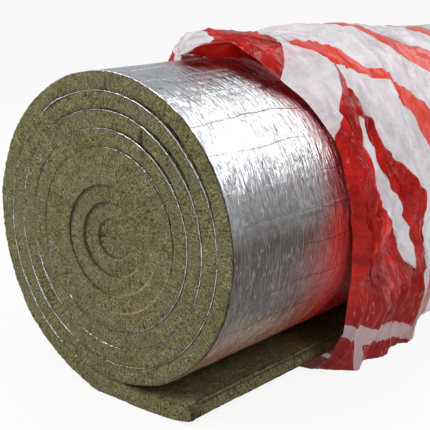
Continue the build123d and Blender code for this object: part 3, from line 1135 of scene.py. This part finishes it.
@dataclass
class FoilFacing:
    """The foil: a skin round the roll, and its edges between the turns."""

    winding: Winding
    mouth: Mouth
    spacing: float = 0.0036
    fine_rows: float = 0.0028
    fine_to: float = 0.37
    coarse_rows: float = 0.022
    joint_spacing: tuple[float, float] = (0.044, 0.070)
    edge_spacing: float = 0.0022
    edge_end: float = 10.4
    edge_thickness: float = 0.0005
    edge_depths: tuple[float, ...] = (0.0, 0.0016, 0.0045, 0.026)
    lip: float = 0.0009
    joint_wander: Ripple = Ripple(0.0025, 0.12, 20.0)
    joint_strength: Ripple = Ripple(0.6, 0.14, 21.0)
    looseness: Ripple = Ripple(0.5, 0.10, 22.0)
    crinkles: Ripple = Ripple(0.00050, 0.0085, 23.0, True)
    swells: Ripple = Ripple(0.0006, 0.045, 24.0)
    folds: Ripple = Ripple(0.00055, 0.019, 25.0, True)
    front_edge: tuple[Ripple, ...] = (Ripple(0.0008, 0.012, 26.0), Ripple(0.0006, 0.004, 27.0))
    shade_patches: Ripple = Ripple(0.022, 0.16, 28.0)
    streaks: Ripple = Ripple(1.0, 0.02, 29.0)
    turn_edge: tuple[Ripple, ...] = (Ripple(0.0009, 0.010, 30.0), Ripple(0.0007, 0.004, 31.0))
    lip_edge: tuple[Ripple, ...] = (Ripple(0.0011, 0.008, 32.0), Ripple(0.0009, 0.003, 33.0))
    # how far before the mouth the painted red reflection reaches, high and low on the roll
    red_reflection_reach: tuple[float, float] = (0.034, 0.090)
    # where the painted shade towards the floor begins, and over what height it deepens
    shade_below: float = 0.40
    shade_depth: float = 0.35
    seed: int = 5

    def skin_line(self) -> tuple[np.ndarray, np.ndarray]:
        """The foil's line from the cut edge to just inside the nip, and where it is, in half turns."""
        under = resample(self.winding.under_side(0.0), self.spacing)
        start = self.winding.where_at(0, self.winding.foot_touch)
        end = self.winding.where_at(2, self.winding.nip_at) + 0.03
        where = self.winding.wheres(start, end, self.spacing)
        line = np.concatenate([under[:-1], self.winding.turn(where, 0.0)])
        return line, np.concatenate([np.zeros(len(under) - 1), where])

    def rows(self) -> np.ndarray:
        """Distances from the foil's front edge to each row."""
        fine = np.arange(0.0, self.fine_to, self.fine_rows)
        count = round((ROLL_LENGTH - self.fine_to) / self.coarse_rows)
        return np.concatenate([fine, np.linspace(self.fine_to, ROLL_LENGTH, count)])

    def joints(self, length: float) -> np.ndarray:
        """Where the mat's slats meet under the foil, along its line."""
        generator = np.random.default_rng(self.seed)
        return np.cumsum(generator.uniform(*self.joint_spacing, int(length / self.joint_spacing[0])))

    def skin(self) -> Shell:
        """Points, faces and traits of the skin: its sheet places, the painted shade towards the floor and
        the film's painted red reflection near the mouth.
        """
        line, where = self.skin_line()
        normal = normals_of(line)
        along = lengths_along(line)
        rows = self.rows()
        s, y = np.meshgrid(along, rows, indexing="ij")
        sheet = places(s, y, 0.0)
        warped = s + self.joint_wander.at(sheet)
        crease = np.zeros_like(s)
        generator = np.random.default_rng(self.seed + 1)
        for at in self.joints(along[-1]):
            strength = generator.uniform(0.25, 1.0) * (0.75 + self.joint_strength.at(sheet + at))
            off = warped - at
            crease -= 0.0011 * strength * bump(off, 0.0, 0.0026)
            crease += 0.0005 * strength * bump(np.abs(off), 0.006, 0.004)
        round_way = sheet * (0.12, 1.0, 1.0)
        loose = 0.45 + 1.4 * np.exp(-y / 0.018) + self.looseness.at(sheet)
        out = loose * self.crinkles.at(round_way) + self.swells.at(sheet)
        out += loose * self.folds.at(sheet * (0.35, 1.0, 1.0)) + crease
        nip = ease(where[:, None], 2.0, 2.04)
        foot = (line[:, 1] < 0.004)[:, None]
        out = np.where(foot, 0.1, 1.0) * (1.0 - 0.9 * nip) * out
        out[:, 0] = -0.0009
        edge = uneven(sheet[:, :1] * (1.0, 0.0, 0.0), self.front_edge) + 0.0016
        depth = y + edge * np.exp(-y / 0.006) + self.winding.corner(s)
        depth[:, 0] = depth[:, 1] + 0.0006
        depth[:, 1] -= 0.0014
        out = out + 0.0002
        points = places(line[:, :1] + normal[:, :1] * out, depth, line[:, 1:] + normal[:, 1:] * out)
        points[..., 2] = np.maximum(points[..., 2], FILM * 0.9)
        faces = grid_faces(len(along), len(rows))
        streaks = self.streaks.at(round_way)
        # Painted shade: the mark rises towards the floor, under a wandering and streaky upper edge.
        height = line[:, 1:] + self.shade_patches.at(sheet) + 0.008 * streaks
        # Painted reflection: the film's red on the foil before the mouth, reaching further back low on the
        # right; it goes into the layers trait.
        angle = np.degrees(np.arctan2(line[:, 1] - self.winding.axis, line[:, 0]))[:, None]
        before = self.mouth.at(angle)[0] - y
        reach = self.red_reflection_reach[0] + (self.red_reflection_reach[1] - self.red_reflection_reach[0]) * ease(angle, 30.0, -15.0)
        glow = bump(np.maximum(before, 0.0), 0.0, reach) * (0.8 + 0.5 * streaks)
        traits = {
            Trait.SHEET: sheet.reshape(-1, 3),
            Trait.MARK: np.clip((self.shade_below - height) / self.shade_depth, 0.0, 1.0).ravel(),
            Trait.LAYERS: np.clip(glow, 0.0, 1.0).ravel(),
        }
        return points.reshape(-1, 3), faces, traits

    def edges(self) -> Shell:
        """Points, faces and traits of the edges between the turns."""
        start = self.winding.where_at(2, self.winding.nip_at) + 0.028
        where = self.winding.wheres(start, self.edge_end, self.edge_spacing)
        line = self.winding.turn(where, 0.0)
        normal = normals_of(line)
        along = lengths_along(line)
        depths = np.array(self.edge_depths)
        spots = places(along, where * 0.05, 0.0)
        front = self.winding.set_back(where) + self.winding.turn_steps(along + self.offset(), where)
        worn = self.winding.worn(where)
        hidden = 0.0022 * ease(where, 7.5, 9.8) - 0.0050 * worn
        front += 0.0008 + hidden + uneven(spots, self.turn_edge)
        lip = worn * (self.lip + uneven(spots, self.lip_edge))
        rings = []
        for thickness, order in ((0.0, slice(None)), (self.edge_thickness, slice(None, None, -1))):
            for depth in depths[order]:
                out = thickness * (1.0 + worn) + np.maximum(lip, 0.0) * bump(depth, 0.0, 0.0022)
                place = line + normal * out[:, None]
                rings.append(places(place[:, 0], front + depth, place[:, 1]))
        ring = np.stack(rings, axis=1)
        count, size = ring.shape[:2]
        faces = [
            (i + j, i + (j + 1) % size, i + size + (j + 1) % size, i + size + j)
            for i in range(0, (count - 1) * size, size)
            for j in range(size)
        ]
        faces += [tuple(reversed(range(size))), tuple(range((count - 1) * size, count * size))]
        sheet = places(along[:, None] + 1.9, ring[..., 1], 0.0)
        none = np.zeros(count * size)
        traits = {Trait.SHEET: sheet.reshape(-1, 3), Trait.MARK: none, Trait.LAYERS: none}
        return ring.reshape(-1, 3), faces, traits

    def offset(self) -> float:
        """How far along the mat's middle line the edges start."""
        strip = lay_out_strip(self.winding, 0.006)
        return float(np.interp(self.winding.where_at(2, self.winding.nip_at), strip.where, strip.along))

    def build(self, shop: Workshop, material: Material) -> list[bpy.types.Object]:
        """Makes the skin and the edges."""
        skin = shop.place("foil_skin", *self.skin(), material, Slot.FOIL, ["foil_facing"])
        return [skin, shop.place("foil_turn_edges", *self.edges(), material, Slot.FOIL, [])]


@dataclass(frozen=True)
class Gather:
    """One line round the gathered film: a crest, a hollow or an edge.

    side and over are its distances from the bare end, at the sides and over the roll's top. The
    heights are over the roll, and the films are lengths of film from the mouth. The first gather is
    the mouth itself, which has its own line.
    """

    side: float
    over: float
    side_height: float
    over_height: float
    side_film: float
    over_film: float
    crest: bool = False


@dataclass
class FilmSleeve:
    """The sleeve: gathered behind its mouth, slack on the floor and closed behind the roll."""

    winding: Winding
    mouth: Mouth
    gathers: tuple[Gather, ...] = (
        Gather(0.000, 0.000, 0.000, 0.000, 0.000, -0.110),
        Gather(0.328, 0.318, 0.028, 0.035, 0.085, 0.050, True),
        Gather(0.386, 0.460, 0.011, 0.017, 0.185, 0.200),
        Gather(0.446, 0.522, 0.031, 0.032, 0.300, 0.290, True),
        Gather(0.514, 0.630, 0.009, 0.029, 0.400, 0.420),
        Gather(0.700, 0.760, 0.006, 0.013, 0.590, 0.560),
        Gather(1.004, 1.004, 0.006, 0.006, 0.894, 0.814),
    )
    gathers_at_sides: int = 4
    flap: tuple[float, float] = (88.0, 16.0)
    follow: tuple[float, float] = (92.0, 22.0)
    high_part: tuple[float, float] = (88.0, 38.0)
    bends: tuple[tuple[float, float, float], ...] = ((58.0, 16.0, 0.040), (-33.0, 15.0, 0.080))
    behind_mouth: float = 0.045
    mouth_lean: float = 0.022
    floor_reach: float = 0.226
    floor_reach_front: float = 0.180
    floor_reach_behind: float = 0.186
    hang_from: tuple[float, float] = (0.2505, -0.050)
    knee: tuple[float, float] = (0.231, -0.190)
    columns: int = 350
    rows: tuple[int, ...] = (28, 28, 28, 28, 34, 30)
    rear_rows: int = 30
    hem: tuple[float, ...] = (0.15, 0.4, 0.7, 1.0)
    hem_depth: float = 0.040
    hem_from: float = 38.0
    hem_to: float = 98.0
    cross_half: float = 0.010
    cross_below: float = -20.0
    cross_before: float = 0.56
    stem_span: tuple[float, float] = (-75.0, -42.0)
    corner_at: float = 0.215
    corner_slope: float = 0.0040
    corner_span: tuple[float, float] = (84.0, 125.0)
    pleats: float = 34.0
    pleat_height: float = 0.0030
    swells: Ripple = Ripple(0.55, 0.11, 43.0)
    wander: tuple[Ripple, ...] = (Ripple(0.017, 0.13, 44.0), Ripple(0.006, 0.045, 45.0))
    wrinkles: tuple[Ripple, ...] = (
        Ripple(0.0052, 0.034, 70.0, True), Ripple(0.0034, 0.015, 71.0, True)
    )
    crumple: tuple[Ripple, ...] = (
        Ripple(0.0044, 0.075, 72.0, True), Ripple(0.0026, 0.034, 73.0, True),
        Ripple(0.0008, 0.014, 74.0, True),
    )
    long_pulls: Ripple = Ripple(0.0030, 0.055, 75.0, True)
    short_pulls: Ripple = Ripple(0.0014, 0.05, 76.0, True)
    shift: Ripple = Ripple(0.0035, 0.030, 77.0)
    print_wander: Ripple = Ripple(1.0, 0.055, 78.0)
    print_jags: Ripple = Ripple(0.0007, 0.020, 79.0, True)
    loose_until: Table = (
        (-90.0, 0.62), (-10.0, 0.52), (9.0, 0.47), (24.0, 0.42), (38.0, 0.40), (57.0, 0.385),
        (66.0, 0.365), (80.0, 0.372), (97.0, 0.41), (130.0, 0.42), (200.0, 0.40), (270.0, 0.62),
    )
    rim_band: Band = (
        ((-90.0, 0.0), (270.0, 0.0)),
        ((-90.0, 0.20), (50.0, 0.20), (60.0, 0.255), (71.0, 0.308), (82.0, 0.356), (90.0, 0.385),
         (97.0, 0.40), (130.0, 0.41), (200.0, 0.37), (240.0, 0.34), (270.0, 0.20)),
    )
    fold_band: Band = (
        ((-90.0, 0.20), (10.0, 0.20), (20.0, 0.271), (30.0, 0.284), (40.0, 0.301), (48.0, 0.338),
         (57.0, 0.368), (60.0, 0.376), (240.0, 0.60), (270.0, 0.20)),
        ((-90.0, 0.50), (-40.0, 0.535), (-25.0, 0.53), (-10.0, 0.504), (1.0, 0.486), (9.0, 0.450),
         (18.0, 0.424), (24.0, 0.397), (38.0, 0.391), (57.0, 0.378), (60.0, 0.374), (90.0, 0.30),
         (240.0, 0.30), (270.0, 0.50)),
    )
    fold_gap: Band = (
        ((-90.0, 0.60), (-28.0, 0.60), (-26.0, 0.508), (-19.0, 0.448), (-10.0, 0.416), (0.0, 0.382),
         (13.0, 0.338), (22.0, 0.337), (32.0, 0.352), (38.0, 0.362), (40.0, 0.50), (270.0, 0.60)),
        ((-90.0, 0.50), (-27.0, 0.505), (-8.0, 0.452), (0.0, 0.424), (6.0, 0.404), (12.0, 0.390),
         (19.0, 0.379), (30.0, 0.369), (38.0, 0.364), (40.0, 0.30), (270.0, 0.50)),
    )
    first_band: Band = (
        ((-90.0, 0.60), (-40.0, 0.585), (0.0, 0.56), (22.0, 0.542), (36.0, 0.526), (44.0, 0.482),
         (54.0, 0.441), (60.0, 0.399), (63.0, 0.366), (72.0, 0.370), (81.0, 0.381), (85.0, 0.42),
         (100.0, 0.46), (115.0, 0.46), (150.0, 0.47), (200.0, 0.49), (240.0, 0.53), (270.0, 0.60)),
        ((-90.0, 0.68), (-40.0, 0.67), (0.0, 0.66), (20.0, 0.645), (38.0, 0.585), (47.0, 0.529),
         (56.0, 0.466), (70.0, 0.450), (77.0, 0.440), (81.0, 0.382), (85.0, 0.38), (100.0, 0.44),
         (115.0, 0.52), (150.0, 0.55), (200.0, 0.58), (240.0, 0.61), (270.0, 0.68)),
    )
    second_band: Band = (
        ((-90.0, 0.80), (0.0, 0.79), (30.0, 0.76), (40.0, 0.72), (51.0, 0.667), (63.0, 0.600),
         (77.0, 0.600), (90.0, 0.585), (110.0, 0.60), (150.0, 0.64), (200.0, 0.68), (240.0, 0.74),
         (270.0, 0.80)),
        ((-90.0, 0.88), (0.0, 0.87), (30.0, 0.86), (50.0, 0.83), (56.0, 0.80), (64.0, 0.735),
         (72.0, 0.647), (90.0, 0.615), (110.0, 0.66), (150.0, 0.72), (200.0, 0.76), (240.0, 0.82),
         (270.0, 0.88)),
    )
    third_band: Band = (
        ((-90.0, 0.96), (0.0, 0.95), (50.0, 0.90), (60.0, 0.85), (71.0, 0.813), (97.0, 0.78),
         (150.0, 0.81), (200.0, 0.84), (240.0, 0.90), (270.0, 0.96)),
        ((-90.0, 1.06), (0.0, 1.05), (50.0, 1.00), (60.0, 0.94), (71.0, 0.895), (97.0, 0.86),
         (150.0, 0.90), (200.0, 0.93), (240.0, 1.00), (270.0, 1.06)),
    )
    rear_band: Band = (((-90.0, 1.13), (270.0, 1.13)), ((-90.0, 1.20), (270.0, 1.20)))

    def roll_reach(self, angle: np.ndarray) -> np.ndarray:
        """The distance from the axis to the outside of the roll, at angles from +X."""
        c, s = np.cos(np.radians(angle)), np.sin(np.radians(angle))
        w = self.winding
        width = np.where(c < 0, w.outer_radius, w.outer_radius - w.step)
        height = np.where(s < 0, w.axis - FILM, w.outer_radius - w.sag)
        return width * height / np.hypot(height * c, width * s)

    def drape_reach(self, angle: np.ndarray, y: np.ndarray) -> np.ndarray:
        """The distance to a sheet that hangs from the roll's right side to the floor and lies on it."""
        floor = self.winding.axis - 0.0006
        foot = self.floor_reach - (self.floor_reach - self.floor_reach_front) * ease(y, 0.352, 0.303)
        foot = foot - (self.floor_reach - self.floor_reach_behind) * ease(y, 0.54, 0.66)
        foot = foot + 0.009 * np.sin(y * 61.0) * ease(y, 0.75, 0.45) * ease(y, 0.33, 0.40)
        knee_x = self.knee[0] - 0.030 * ease(y, 0.56, 0.70)
        c, s = np.cos(np.radians(angle)), np.sin(np.radians(angle))
        reach = self.roll_reach(angle)
        corners = [self.hang_from, (knee_x, self.knee[1]), (foot, -floor)]
        for (x, z), (next_x, next_z) in zip(corners, corners[1:]):
            run_x, run_z = next_x - x, next_z - z
            cross = c * run_z - s * run_x
            cross = np.where(np.abs(cross) < 1e-6, 1e-6, cross)
            hang = (x * run_z - z * run_x) / cross
            share = (x * s - z * c) / cross
            on_it = (share >= 0.0) & (share <= 1.0) & (angle > -90.0) & (angle < 0.0)
            reach = np.where(on_it, np.maximum(hang, reach), reach)
        lying = (angle < np.degrees(np.arctan2(-floor, foot))) & (angle > -90.0)
        return np.where(lying, floor / np.maximum(-s, 0.1), reach)

    def along(self, angles: np.ndarray, step: np.ndarray) -> tuple[np.ndarray, np.ndarray, np.ndarray]:
        """Where the film is, by angle and by its place among the gathers.

        Args:
            angles: the columns' angles, in degrees.
            step: for each row, the number of the gather before it and the share of the way to the next.

        Returns:
            For each row and column, the distance from the bare end, the height over the roll and the
            length of film from the mouth.
        """
        a = angles[None, :]
        flap = angle_bump(a, *self.flap)
        edge_y, edge_height = self.mouth.at(a)
        follow = angle_bump(a, *self.follow)
        swell = angle_bump(a, *self.high_part)
        bend = sum(length * angle_bump(a, centre, spread) for centre, spread, length in self.bends)
        lines = []
        for number, gather in enumerate(self.gathers):
            over = flap if number == 0 else follow
            fade = 1.0 - number / (len(self.gathers) - 1)
            y = gather.side + (gather.over - gather.side) * over + bend * ease(number, 5.4, 3.0)
            y = y - self.mouth_lean * fade * np.sin(np.radians(a))
            height = gather.side_height + (gather.over_height - gather.side_height) * swell
            if number == 0:
                y, height = edge_y, edge_height
            elif number == 1:
                y = np.maximum(y, edge_y + self.behind_mouth)
            film = gather.side_film + (gather.over_film - gather.side_film) * over
            lines.append(np.stack([y, height, film]))
        first = np.minimum(step.astype(int), len(lines) - 2)
        share = (step - first)[:, None]
        low = np.concatenate([lines[i] for i in first], axis=1)
        high = np.concatenate([lines[i + 1] for i in first], axis=1)
        rising = np.array([self.gathers[i + 1].crest for i in first])[:, None]
        falling = np.array([self.gathers[i].crest for i in first])[:, None]
        soft = share * share * (3.0 - 2.0 * share)
        bent = np.where(rising, share**1.5, np.where(falling, 1.0 - (1.0 - share) ** 1.5, soft))
        bent = np.where(first[:, None] == 0, 1.0 - (1.0 - share) ** 2.2, bent)
        y, film = (low[i] + (high[i] - low[i]) * share for i in (0, 2))
        return y, low[1] + (high[1] - low[1]) * bent, film

    def shape(self) -> Shell:
        """Points, faces and traits of the sleeve: its sheet places, red bands and layers, which also carry
        painted shade near the floor and under the turned hem.
        """
        angles = np.linspace(-90.0, 270.0, self.columns)
        radius = self.winding.outer_radius
        ring = places(radius * np.cos(np.radians(angles)), radius * np.sin(np.radians(angles)))
        steps = [number + np.arange(count) / count for number, count in enumerate(self.rows)]
        step = np.concatenate([*steps, [float(len(self.rows))]])
        y, height, v = self.along(angles, step)
        angle = np.broadcast_to(angles[None, :], y.shape)
        place = places(ring[None, :, 0], ring[None, :, 1], step[:, None] * 0.1)
        spots = places(ring[None, :, 0], ring[None, :, 1], v)

        number = step[:, None]
        gathered = ease(number, self.gathers_at_sides + 0.75, self.gathers_at_sides - 0.35)
        smooth = 1.0 - gathered
        edge = ease(number, 0.0, 0.35)
        rear = ease(number, 5.0, 6.0)
        over = angle_bump(angle, *self.high_part)
        under = np.abs((angle + 92.0 + 180.0) % 360.0 - 180.0)
        free = ease(under, 30.0, 50.0)

        swell = 1.0 + edge * (1.0 - 0.7 * over) * self.swells.at(place)
        wander = self.wander[0].at(place * (1.0, 1.0, 1.6)) + self.wander[1].at(place)
        lean = -0.016 * bump(number, 1.0, 0.55) + 0.016 * bump(number, 3.05, 0.5)
        long_way = spots * (0.14, 0.14, 1.0)
        wrinkles, crumple = uneven(long_way, self.wrinkles), uneven(spots, self.crumple)
        slant = spots + 0.5 * places(v, v, 0.0)
        pulls = self.long_pulls.at(slant * (1.0, 1.0, 0.22)) + self.short_pulls.at(slant)
        out = height * swell * (1.0 - 0.35 * ease(angle, -10.0, -26.0))
        out += (wrinkles + crumple) * gathered * (0.25 + 0.75 * edge) * (1.0 - 0.55 * over)
        out += (pulls + 0.35 * crumple * over * (1.0 - rear)) * smooth * (1.0 - 0.4 * rear)
        out = free * np.maximum(out, 0.0010 + 0.0027 * edge)
        y = y + free * edge * (lean + wander * gathered * ease(number, 4.6, 3.0))
        y = y + free * gathered * self.shift.at(spots)
        reach = self.drape_reach(angle, y) + out

        rear_points, rear_sheet, rear_film = self.rear(angles, reach[-1], v[-1], spots[-1])
        everything = np.concatenate([self.swept(angle, reach, y), rear_points])
        everything[..., 2] = np.maximum(everything[..., 2], 0.0003)
        sheet = np.concatenate([spots, rear_sheet])
        place = np.concatenate([y, ROLL_LENGTH + rear_film - v[-1:]])
        loose = ease(place, 0.62, 0.45)
        place = place + (0.0010 + 0.0060 * loose) * self.print_wander.at(sheet)
        place += loose * self.print_jags.at(sheet)
        marks = self.printed(angles[None, :], place)
        # Painted shade: the film low down near the floor gets extra layers, which the finish darkens.
        low = ease(everything[..., 2], 0.20, 0.05) * ease(everything[..., 1], 0.75, 0.6)
        behind = place - by_angle(angles, *self.loose_until)[None, :]
        layers = ease(behind, 0.03, 0.0) + 0.9 * low
        faces = grid_faces(everything.shape[0], self.columns)
        points, sheet = everything.reshape(-1, 3), sheet.reshape(-1, 3)
        hem, hem_faces, rim = self.turned_hem(angles, reach[0], y[0], len(points))
        points, faces = np.concatenate([points, hem]), faces + hem_faces
        sheet = np.concatenate([sheet, sheet[rim] - (0.0, 0.0, 0.05)])
        marks = np.concatenate([marks.ravel(), np.full(len(hem), 0.02)])
        # painted shade: the turned hem under the rim gets layers above 1
        layers = np.concatenate([layers.ravel(), np.full(len(hem), 1.2)])
        return points, faces, {Trait.SHEET: sheet, Trait.MARK: marks, Trait.LAYERS: layers}

    def turned_hem(
        self, angles: np.ndarray, reach: np.ndarray, y: np.ndarray, first: int
    ) -> tuple[np.ndarray, Faces, np.ndarray]:
        """The film's edge turned under, over the roll's top: from the rim back down to the foil.

        Args:
            angles: the columns' angles.
            reach: how far from the axis the rim is.
            y: how far from the bare end it is.
            first: the number of the first new point.

        Returns:
            The points, the faces and the rim's point number for each new point.
        """
        columns = np.flatnonzero((angles > self.hem_from) & (angles < self.hem_to))
        wide = len(columns)
        roll = self.roll_reach(angles[columns]) + 0.0012
        rows = []
        for share in self.hem:
            down = reach[columns] + (roll - reach[columns]) * share**1.3
            back = y[columns] + self.hem_depth * share
            rows.append(self.swept(angles[columns], down, back))
        faces = [(columns[i], columns[i + 1], first + i + 1, first + i) for i in range(wide - 1)]
        faces += grid_faces(len(rows), wide, first)
        return np.concatenate(rows), faces, np.tile(columns, len(rows))

    def swept(self, angle: np.ndarray, reach: np.ndarray, y: np.ndarray) -> np.ndarray:
        """Points at angles and distances from the roll's axis."""
        x = reach * np.cos(np.radians(angle))
        z = self.winding.axis + reach * np.sin(np.radians(angle))
        return places(x, y, z)

    def printed(self, angle: np.ndarray, y: np.ndarray) -> np.ndarray:
        """How far inside a red band each point is, in metres, and below 0 outside.

        The bands are broad and lean round the sleeve; the gathers hide parts of them.

        Args:
            angle: angles from +X, in degrees.
            y: distances from the bare end along the film.

        Returns:
            The distances.
        """
        angle, y = np.broadcast_arrays(angle, y)

        def inside(band: Band) -> np.ndarray:
            """How far the points are inside a band with that low and high side."""
            low, high = band
            return np.minimum(y - by_angle(angle, *low), by_angle(angle, *high) - y)

        red = inside(self.rim_band)
        later = (self.fold_band, self.first_band, self.second_band, self.third_band, self.rear_band)
        for band in later:
            red = np.maximum(red, inside(band))
        start, end = self.corner_span
        corner = y - (self.corner_at + self.corner_slope * (angle - start))
        red = np.where((angle > start) & (angle < end), np.minimum(red, corner), red)
        red = np.minimum(red, -inside(self.fold_gap))
        half = self.cross_half
        across = half - np.abs(0.00475 * (angle + 43.5) + 0.16 * (y - 0.45))
        stem = half - np.abs(y - 0.356 + 0.0012 * (angle + 47.0))
        across = np.where(y < self.cross_before, across, -half)
        start, end = self.stem_span
        stem = np.where((angle < end) & (angle > start), stem, -half)
        cut = np.minimum(red, -np.maximum(across, stem))
        return np.where(angle < self.cross_below, cut, red)

    def rear(
        self, angles: np.ndarray, reach: np.ndarray, v: np.ndarray, spots: np.ndarray
    ) -> tuple[np.ndarray, np.ndarray, np.ndarray]:
        """The closed end: it turns in over the roll's edge and is gathered to a tied tuft.

        Args:
            angles: the columns' angles.
            reach: how far from the axis each column is at the roll's edge.
            v: how far along the film that is.
            spots: the columns' sheet places there.

        Returns:
            Points, sheet places and lengths of film, one row after another.
        """
        size = np.concatenate([[0.992, 0.972, 0.94, 0.90], np.linspace(0.85, 0.09, self.rear_rows)])
        size = np.concatenate([size, [0.055, 0.036, 0.032, 0.05, 0.072]])
        base = 0.006 + 0.020 * (1.0 - np.clip(size, 0.09, 1.0)) ** 0.8
        base[:4] = (0.0005, 0.003, 0.006, 0.0085)
        base[-5:] = (0.031, 0.036, 0.041, 0.047, 0.053)
        size, base = size[:, None], base[:, None]
        turn = np.radians(angles)[None, :]
        pleat = np.sin(turn * self.pleats + 2.2 * np.sin(turn * 5.0 + 1.0) + 3.0 * (1.0 - size))
        fan = (1.0 - size) ** 0.6 * np.clip(size * 9.0, 0.0, 1.0)
        y = ROLL_LENGTH + 0.004 + base + self.pleat_height * pleat * fan
        scale = size * (1.0 + 0.10 * pleat * (size < 0.08))
        points = self.swept(np.broadcast_to(angles[None, :], y.shape), scale * reach[None, :], y)
        length = v[None, :] + (1.0 - size) * reach[None, :]
        sheet = np.broadcast_to(spots[None, :, :], (*y.shape, 3)).copy()
        sheet[..., :2] *= size[..., None]
        sheet[..., 2] = length
        return points, sheet, length

    def build(self, shop: Workshop, material: Material) -> bpy.types.Object:
        piece = shop.place("sleeve_film", *self.shape(), material, Slot.FILM, ["film_sleeve"])
        return piece


@dataclass(frozen=True)
class Lamp:
    """One large soft lamp: its place, its width and height, and its power in watts."""

    name: str
    place: Place
    size: tuple[float, float]
    power: float


@dataclass(frozen=True)
class Studio:
    """The plain floor, the lamps and the camera."""

    lamps: tuple[Lamp, ...] = (
        Lamp("overhead", (0.7, 1.7, 2.1), (2.6, 2.0), 30.0),
        Lamp("front", (-1.1, -2.3, 2.3), (2.0, 2.0), 56.0),
        Lamp("side", (2.6, -0.6, 2.2), (1.2, 1.2), 20.0),
    )
    lamps_aim: Place = (0.0, 0.0, 0.25)
    floor_size: float = 40.0
    floor_colour: Colour = (0.93, 0.93, 0.93)
    whitening: float = 0.88
    sky: float = 0.52
    horizon: float = 0.50
    camera_from_axis: Place = (1.1093, -1.0083, 0.7073)
    yaw: float = 41.35
    pitch: float = 15.0
    focal_pixels: float = 993.9
    frame_pixels: float = 430.0
    sensor: float = 36.0

    def floor(self, effects: SharedEffects) -> None:
        """Lays the floor."""
        finish = Finish("pale_floor")
        graph = finish.graph
        spot = graph.node("ShaderNodeTexCoord").outputs["Object"]
        patches = graph.group(effects.mottle, {"Vector": spot, "Size": 0.6}).outputs["Mask"]
        darker = tuple(0.985 * part for part in self.floor_colour)
        finish.set(Base_Color=graph.mix(patches, darker, self.floor_colour), Roughness=0.8)
        path = graph.node("ShaderNodeLightPath").outputs
        seen = graph.math("MAXIMUM", path["Is Camera Ray"], path["Is Glossy Ray"])
        seen = graph.math("MAXIMUM", seen, path["Is Transmission Ray"])
        white = graph.node("ShaderNodeEmission", {"Color": (1.0, 1.0, 1.0, 1.0), "Strength": 1.0})
        share = graph.times(seen, self.whitening)
        wires = {0: share, 1: finish.shader.outputs[0], 2: white.outputs[0]}
        both = graph.node("ShaderNodeMixShader", wires)
        graph.feed(finish.out.inputs["Surface"], both.outputs[0])
        half = self.floor_size / 2
        corners = [(-half, -half, 0.0), (half, -half, 0.0), (half, half, 0.0), (-half, half, 0.0)]
        mesh = bpy.data.meshes.new("floor")
        mesh.from_pydata(corners, [], [(0, 1, 2, 3)])
        mesh.materials.append(finish.material)
        floor = bpy.data.objects.new("floor", mesh)
        bpy.context.scene.collection.objects.link(floor)

    def world(self) -> None:
        """Sets the even light that comes from all round."""
        world = bpy.data.worlds.new("studio")
        bpy.context.scene.world = world
        world.use_nodes = True
        graph = Graph(world.node_tree)
        direction = graph.node("ShaderNodeTexCoord").outputs["Generated"]
        height = graph.node("ShaderNodeSeparateXYZ", {0: direction}).outputs[2]
        strength = graph.between(height, 0.05, 0.7, self.horizon, self.sky)
        wires = {"Color": (0.97, 0.985, 1.0, 1.0), "Strength": strength}
        background = graph.node("ShaderNodeBackground", wires)
        graph.node("ShaderNodeOutputWorld", {"Surface": background.outputs[0]})

    def hang(self, lamp: Lamp) -> None:
        """Hangs one lamp that looks at the roll."""
        data = bpy.data.lights.new(lamp.name, "AREA")
        data.shape = "RECTANGLE"
        data.size, data.size_y = lamp.size
        data.energy = lamp.power
        hung = bpy.data.objects.new(lamp.name, data)
        hung.location = lamp.place
        aim = Vector(self.lamps_aim) - hung.location
        hung.rotation_euler = aim.to_track_quat("-Z", "Y").to_euler()
        bpy.context.scene.collection.objects.link(hung)

    def camera(self, shop: Workshop) -> None:
        """Puts the camera where the photograph was taken from."""
        data = bpy.data.cameras.new("camera")
        data.sensor_fit = "HORIZONTAL"
        data.sensor_width = self.sensor
        data.lens = self.focal_pixels / self.frame_pixels * self.sensor
        camera = bpy.data.objects.new("camera", data)
        camera.location = Vector(self.camera_from_axis) + Vector(shop.origin)
        camera.rotation_euler = (math.radians(90.0 - self.pitch), 0.0, math.radians(self.yaw))
        bpy.context.scene.collection.objects.link(camera)
        bpy.context.scene.camera = camera

    def build(self, shop: Workshop, effects: SharedEffects) -> None:
        """Makes the floor, the light and the camera."""
        self.floor(effects)
        self.world()
        for lamp in self.lamps:
            self.hang(lamp)
        self.camera(shop)
        bpy.context.scene.view_settings.view_transform = "Standard"


def main() -> None:
    """Builds the roll and its studio."""
    logging.basicConfig(level=logging.INFO, format="%(message)s")
    winding = Winding()
    shop = Workshop(winding)
    effects = SharedEffects()
    WoolMat(winding).build(shop, WoolFinish().build(effects))
    mouth = Mouth()
    FoilFacing(winding, mouth).build(shop, FoilFinish().build(effects))
    FilmSleeve(winding, mouth).build(shop, FilmFinish().build(effects))
    Studio().build(shop, effects)


if __name__ == "__main__":
    main()
